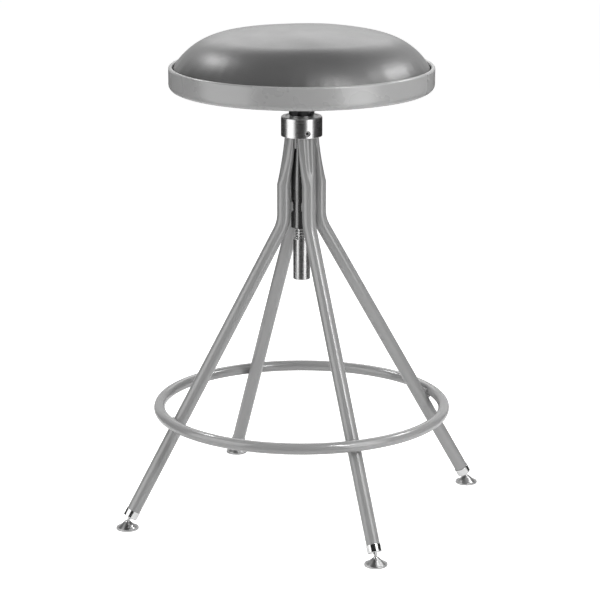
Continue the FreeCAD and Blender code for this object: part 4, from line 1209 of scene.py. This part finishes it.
# %% Floor
FLOOR_HALF = 6
FLOOR_GLOW = 0.86
FLOOR_WHITE = 0.86
MIRRORED_SHARE = 0.35

floor_corners = [(x * FLOOR_HALF, y * FLOOR_HALF, 0) for x, y in ((-1, -1), (1, -1), (1, 1), (-1, 1))]
floor_mesh = mesh_from("floor", floor_corners, [[0, 1, 2, 3]])
floor = placed("floor", floor_mesh)
floor_paint = bpy.data.materials.new("floor_paint")
floor_paint.use_nodes = True
tree = floor_paint.node_tree
tree.nodes.clear()
place = laid(tree, "ShaderNodeTexCoord", {}).outputs["Object"]
sideways = node_math(tree, "ABSOLUTE", along(tree, place, to_the_right))
paper = node_math(tree, "MULTIPLY",
                  fade(tree, sideways, PAPER_HALF_WIDTH, PAPER_HALF_WIDTH + PAPER_EDGE),
                  fade(tree, along(tree, place, toward_camera), PAPER_FRONT, PAPER_FRONT + PAPER_EDGE))
not_mirrored = node_math(tree, "SUBTRACT", 1.0, mirrored(tree))
white = node_math(tree, "MULTIPLY", node_math(tree, "MAXIMUM", paper, not_mirrored), FLOOR_WHITE)
tone = laid(tree, "ShaderNodeCombineColor", {"Red": white, "Green": white, "Blue": white})
matt = laid(tree, "ShaderNodeBsdfDiffuse", {"Color": tone.outputs["Color"]})
glow = laid(tree, "ShaderNodeEmission", {
    "Strength": node_math(tree, "MULTIPLY", seen_strength(tree, paper, MIRRORED_SHARE), FLOOR_GLOW)})
both = laid(tree, "ShaderNodeAddShader", {0: matt.outputs["BSDF"], 1: glow.outputs["Emission"]})
laid(tree, "ShaderNodeOutputMaterial", {"Surface": both.outputs["Shader"]})
floor_mesh.materials.append(floor_paint)
print("floor", floor_mesh.name)

# %% World
WORLD_FILL = 0.16
WALL_SHARE = 0.8
WALL_HALF_ANGLE_SINE = 0.45
WALL_BACK = -0.2
WALL_FRONT = 0.1
CEILING_START = 0.6
CEILING_END = 0.8

world = bpy.data.worlds.new("studio")
scene.world = world
world.use_nodes = True
tree = world.node_tree
tree.nodes.clear()
way = laid(tree, "ShaderNodeTexCoord", {}).outputs["Generated"]
sideways = node_math(tree, "ABSOLUTE", along(tree, way, to_the_right))
upward = along(tree, way, Vector((0, 0, 1)))
wall = node_math(tree, "MULTIPLY",
                 fade(tree, sideways, WALL_HALF_ANGLE_SINE, WALL_HALF_ANGLE_SINE + PAPER_EDGE),
                 fade(tree, along(tree, way, toward_camera), WALL_BACK, WALL_FRONT))
paper = node_math(tree, "MULTIPLY", wall, fade(tree, upward, CEILING_START, CEILING_END))
rays = laid(tree, "ShaderNodeLightPath", {}).outputs
strength = node_math(tree, "MAXIMUM", seen_strength(tree, paper, WALL_SHARE),
                     node_math(tree, "MULTIPLY", rays["Is Diffuse Ray"], WORLD_FILL))
sky = laid(tree, "ShaderNodeBackground", {"Color": (1, 1, 1, 1), "Strength": strength})
laid(tree, "ShaderNodeOutputWorld", {"Surface": sky.outputs["Background"]})
print("world fill", WORLD_FILL)

# %% [markdown]
# Soft boxes stand round the stool. Each highlight of the photograph, on the cushion, the pan or the tubes,
# is the mirror image of a lamp, and its place tells where the lamp stood. The box overhead only fills the
# shade, so reflections don't see it.

# %% Soft boxes
def toward(bearing_degrees, distance, height):
    """A point at a bearing from the camera's side of the stool, positive to the right of the picture."""
    turn = CAMERA_BEARING - math.radians(bearing_degrees)
    return Vector((-math.sin(turn) * distance, -math.cos(turn) * distance, height))


def soft_box(name, bearing, distance, height, width, tall, power, aim_height=0.4, reflected=True):
    """A soft box at a place round the stool, aimed at a height on the stool's axis."""
    lamp = bpy.data.lights.new(name, "AREA")
    lamp.shape = "RECTANGLE"
    lamp.size = width
    lamp.size_y = tall
    lamp.energy = power
    box = placed(name, lamp)
    box.location = toward(bearing, distance, height)
    aim = Vector((0, 0, aim_height)) - box.location
    box.rotation_euler = aim.to_track_quat("-Z", "Y").to_euler()
    box.visible_camera = False
    box.visible_glossy = reflected


PAN_AIM = 0.66
CUSHION_AIM = 0.69
soft_box("left_box", bearing=-64, distance=1.0, height=0.56, width=0.9, tall=1.1, power=5.8)
soft_box("right_box", bearing=46, distance=1.0, height=0.66, width=0.55, tall=1.3, power=6.0)
soft_box("strip_box", bearing=36, distance=1.2, height=1.6, width=0.12, tall=1.0, power=8.0)
soft_box("back_box", bearing=180, distance=2.0, height=1.65, width=1.35, tall=1.0, power=6.6,
         aim_height=CUSHION_AIM)
soft_box("left_rim_box", bearing=-128, distance=1.3, height=1.8, width=0.42, tall=0.2, power=5.0,
         aim_height=PAN_AIM)
soft_box("right_rim_box", bearing=110, distance=1.3, height=1.54, width=0.5, tall=0.22, power=6.8,
         aim_height=PAN_AIM)
soft_box("right_high_box", bearing=80, distance=1.3, height=1.83, width=1.3, tall=0.6, power=3.0,
         aim_height=PAN_AIM)
soft_box("top_box", bearing=0, distance=0.1, height=2.4, width=2.0, tall=2.0, power=10, reflected=False)
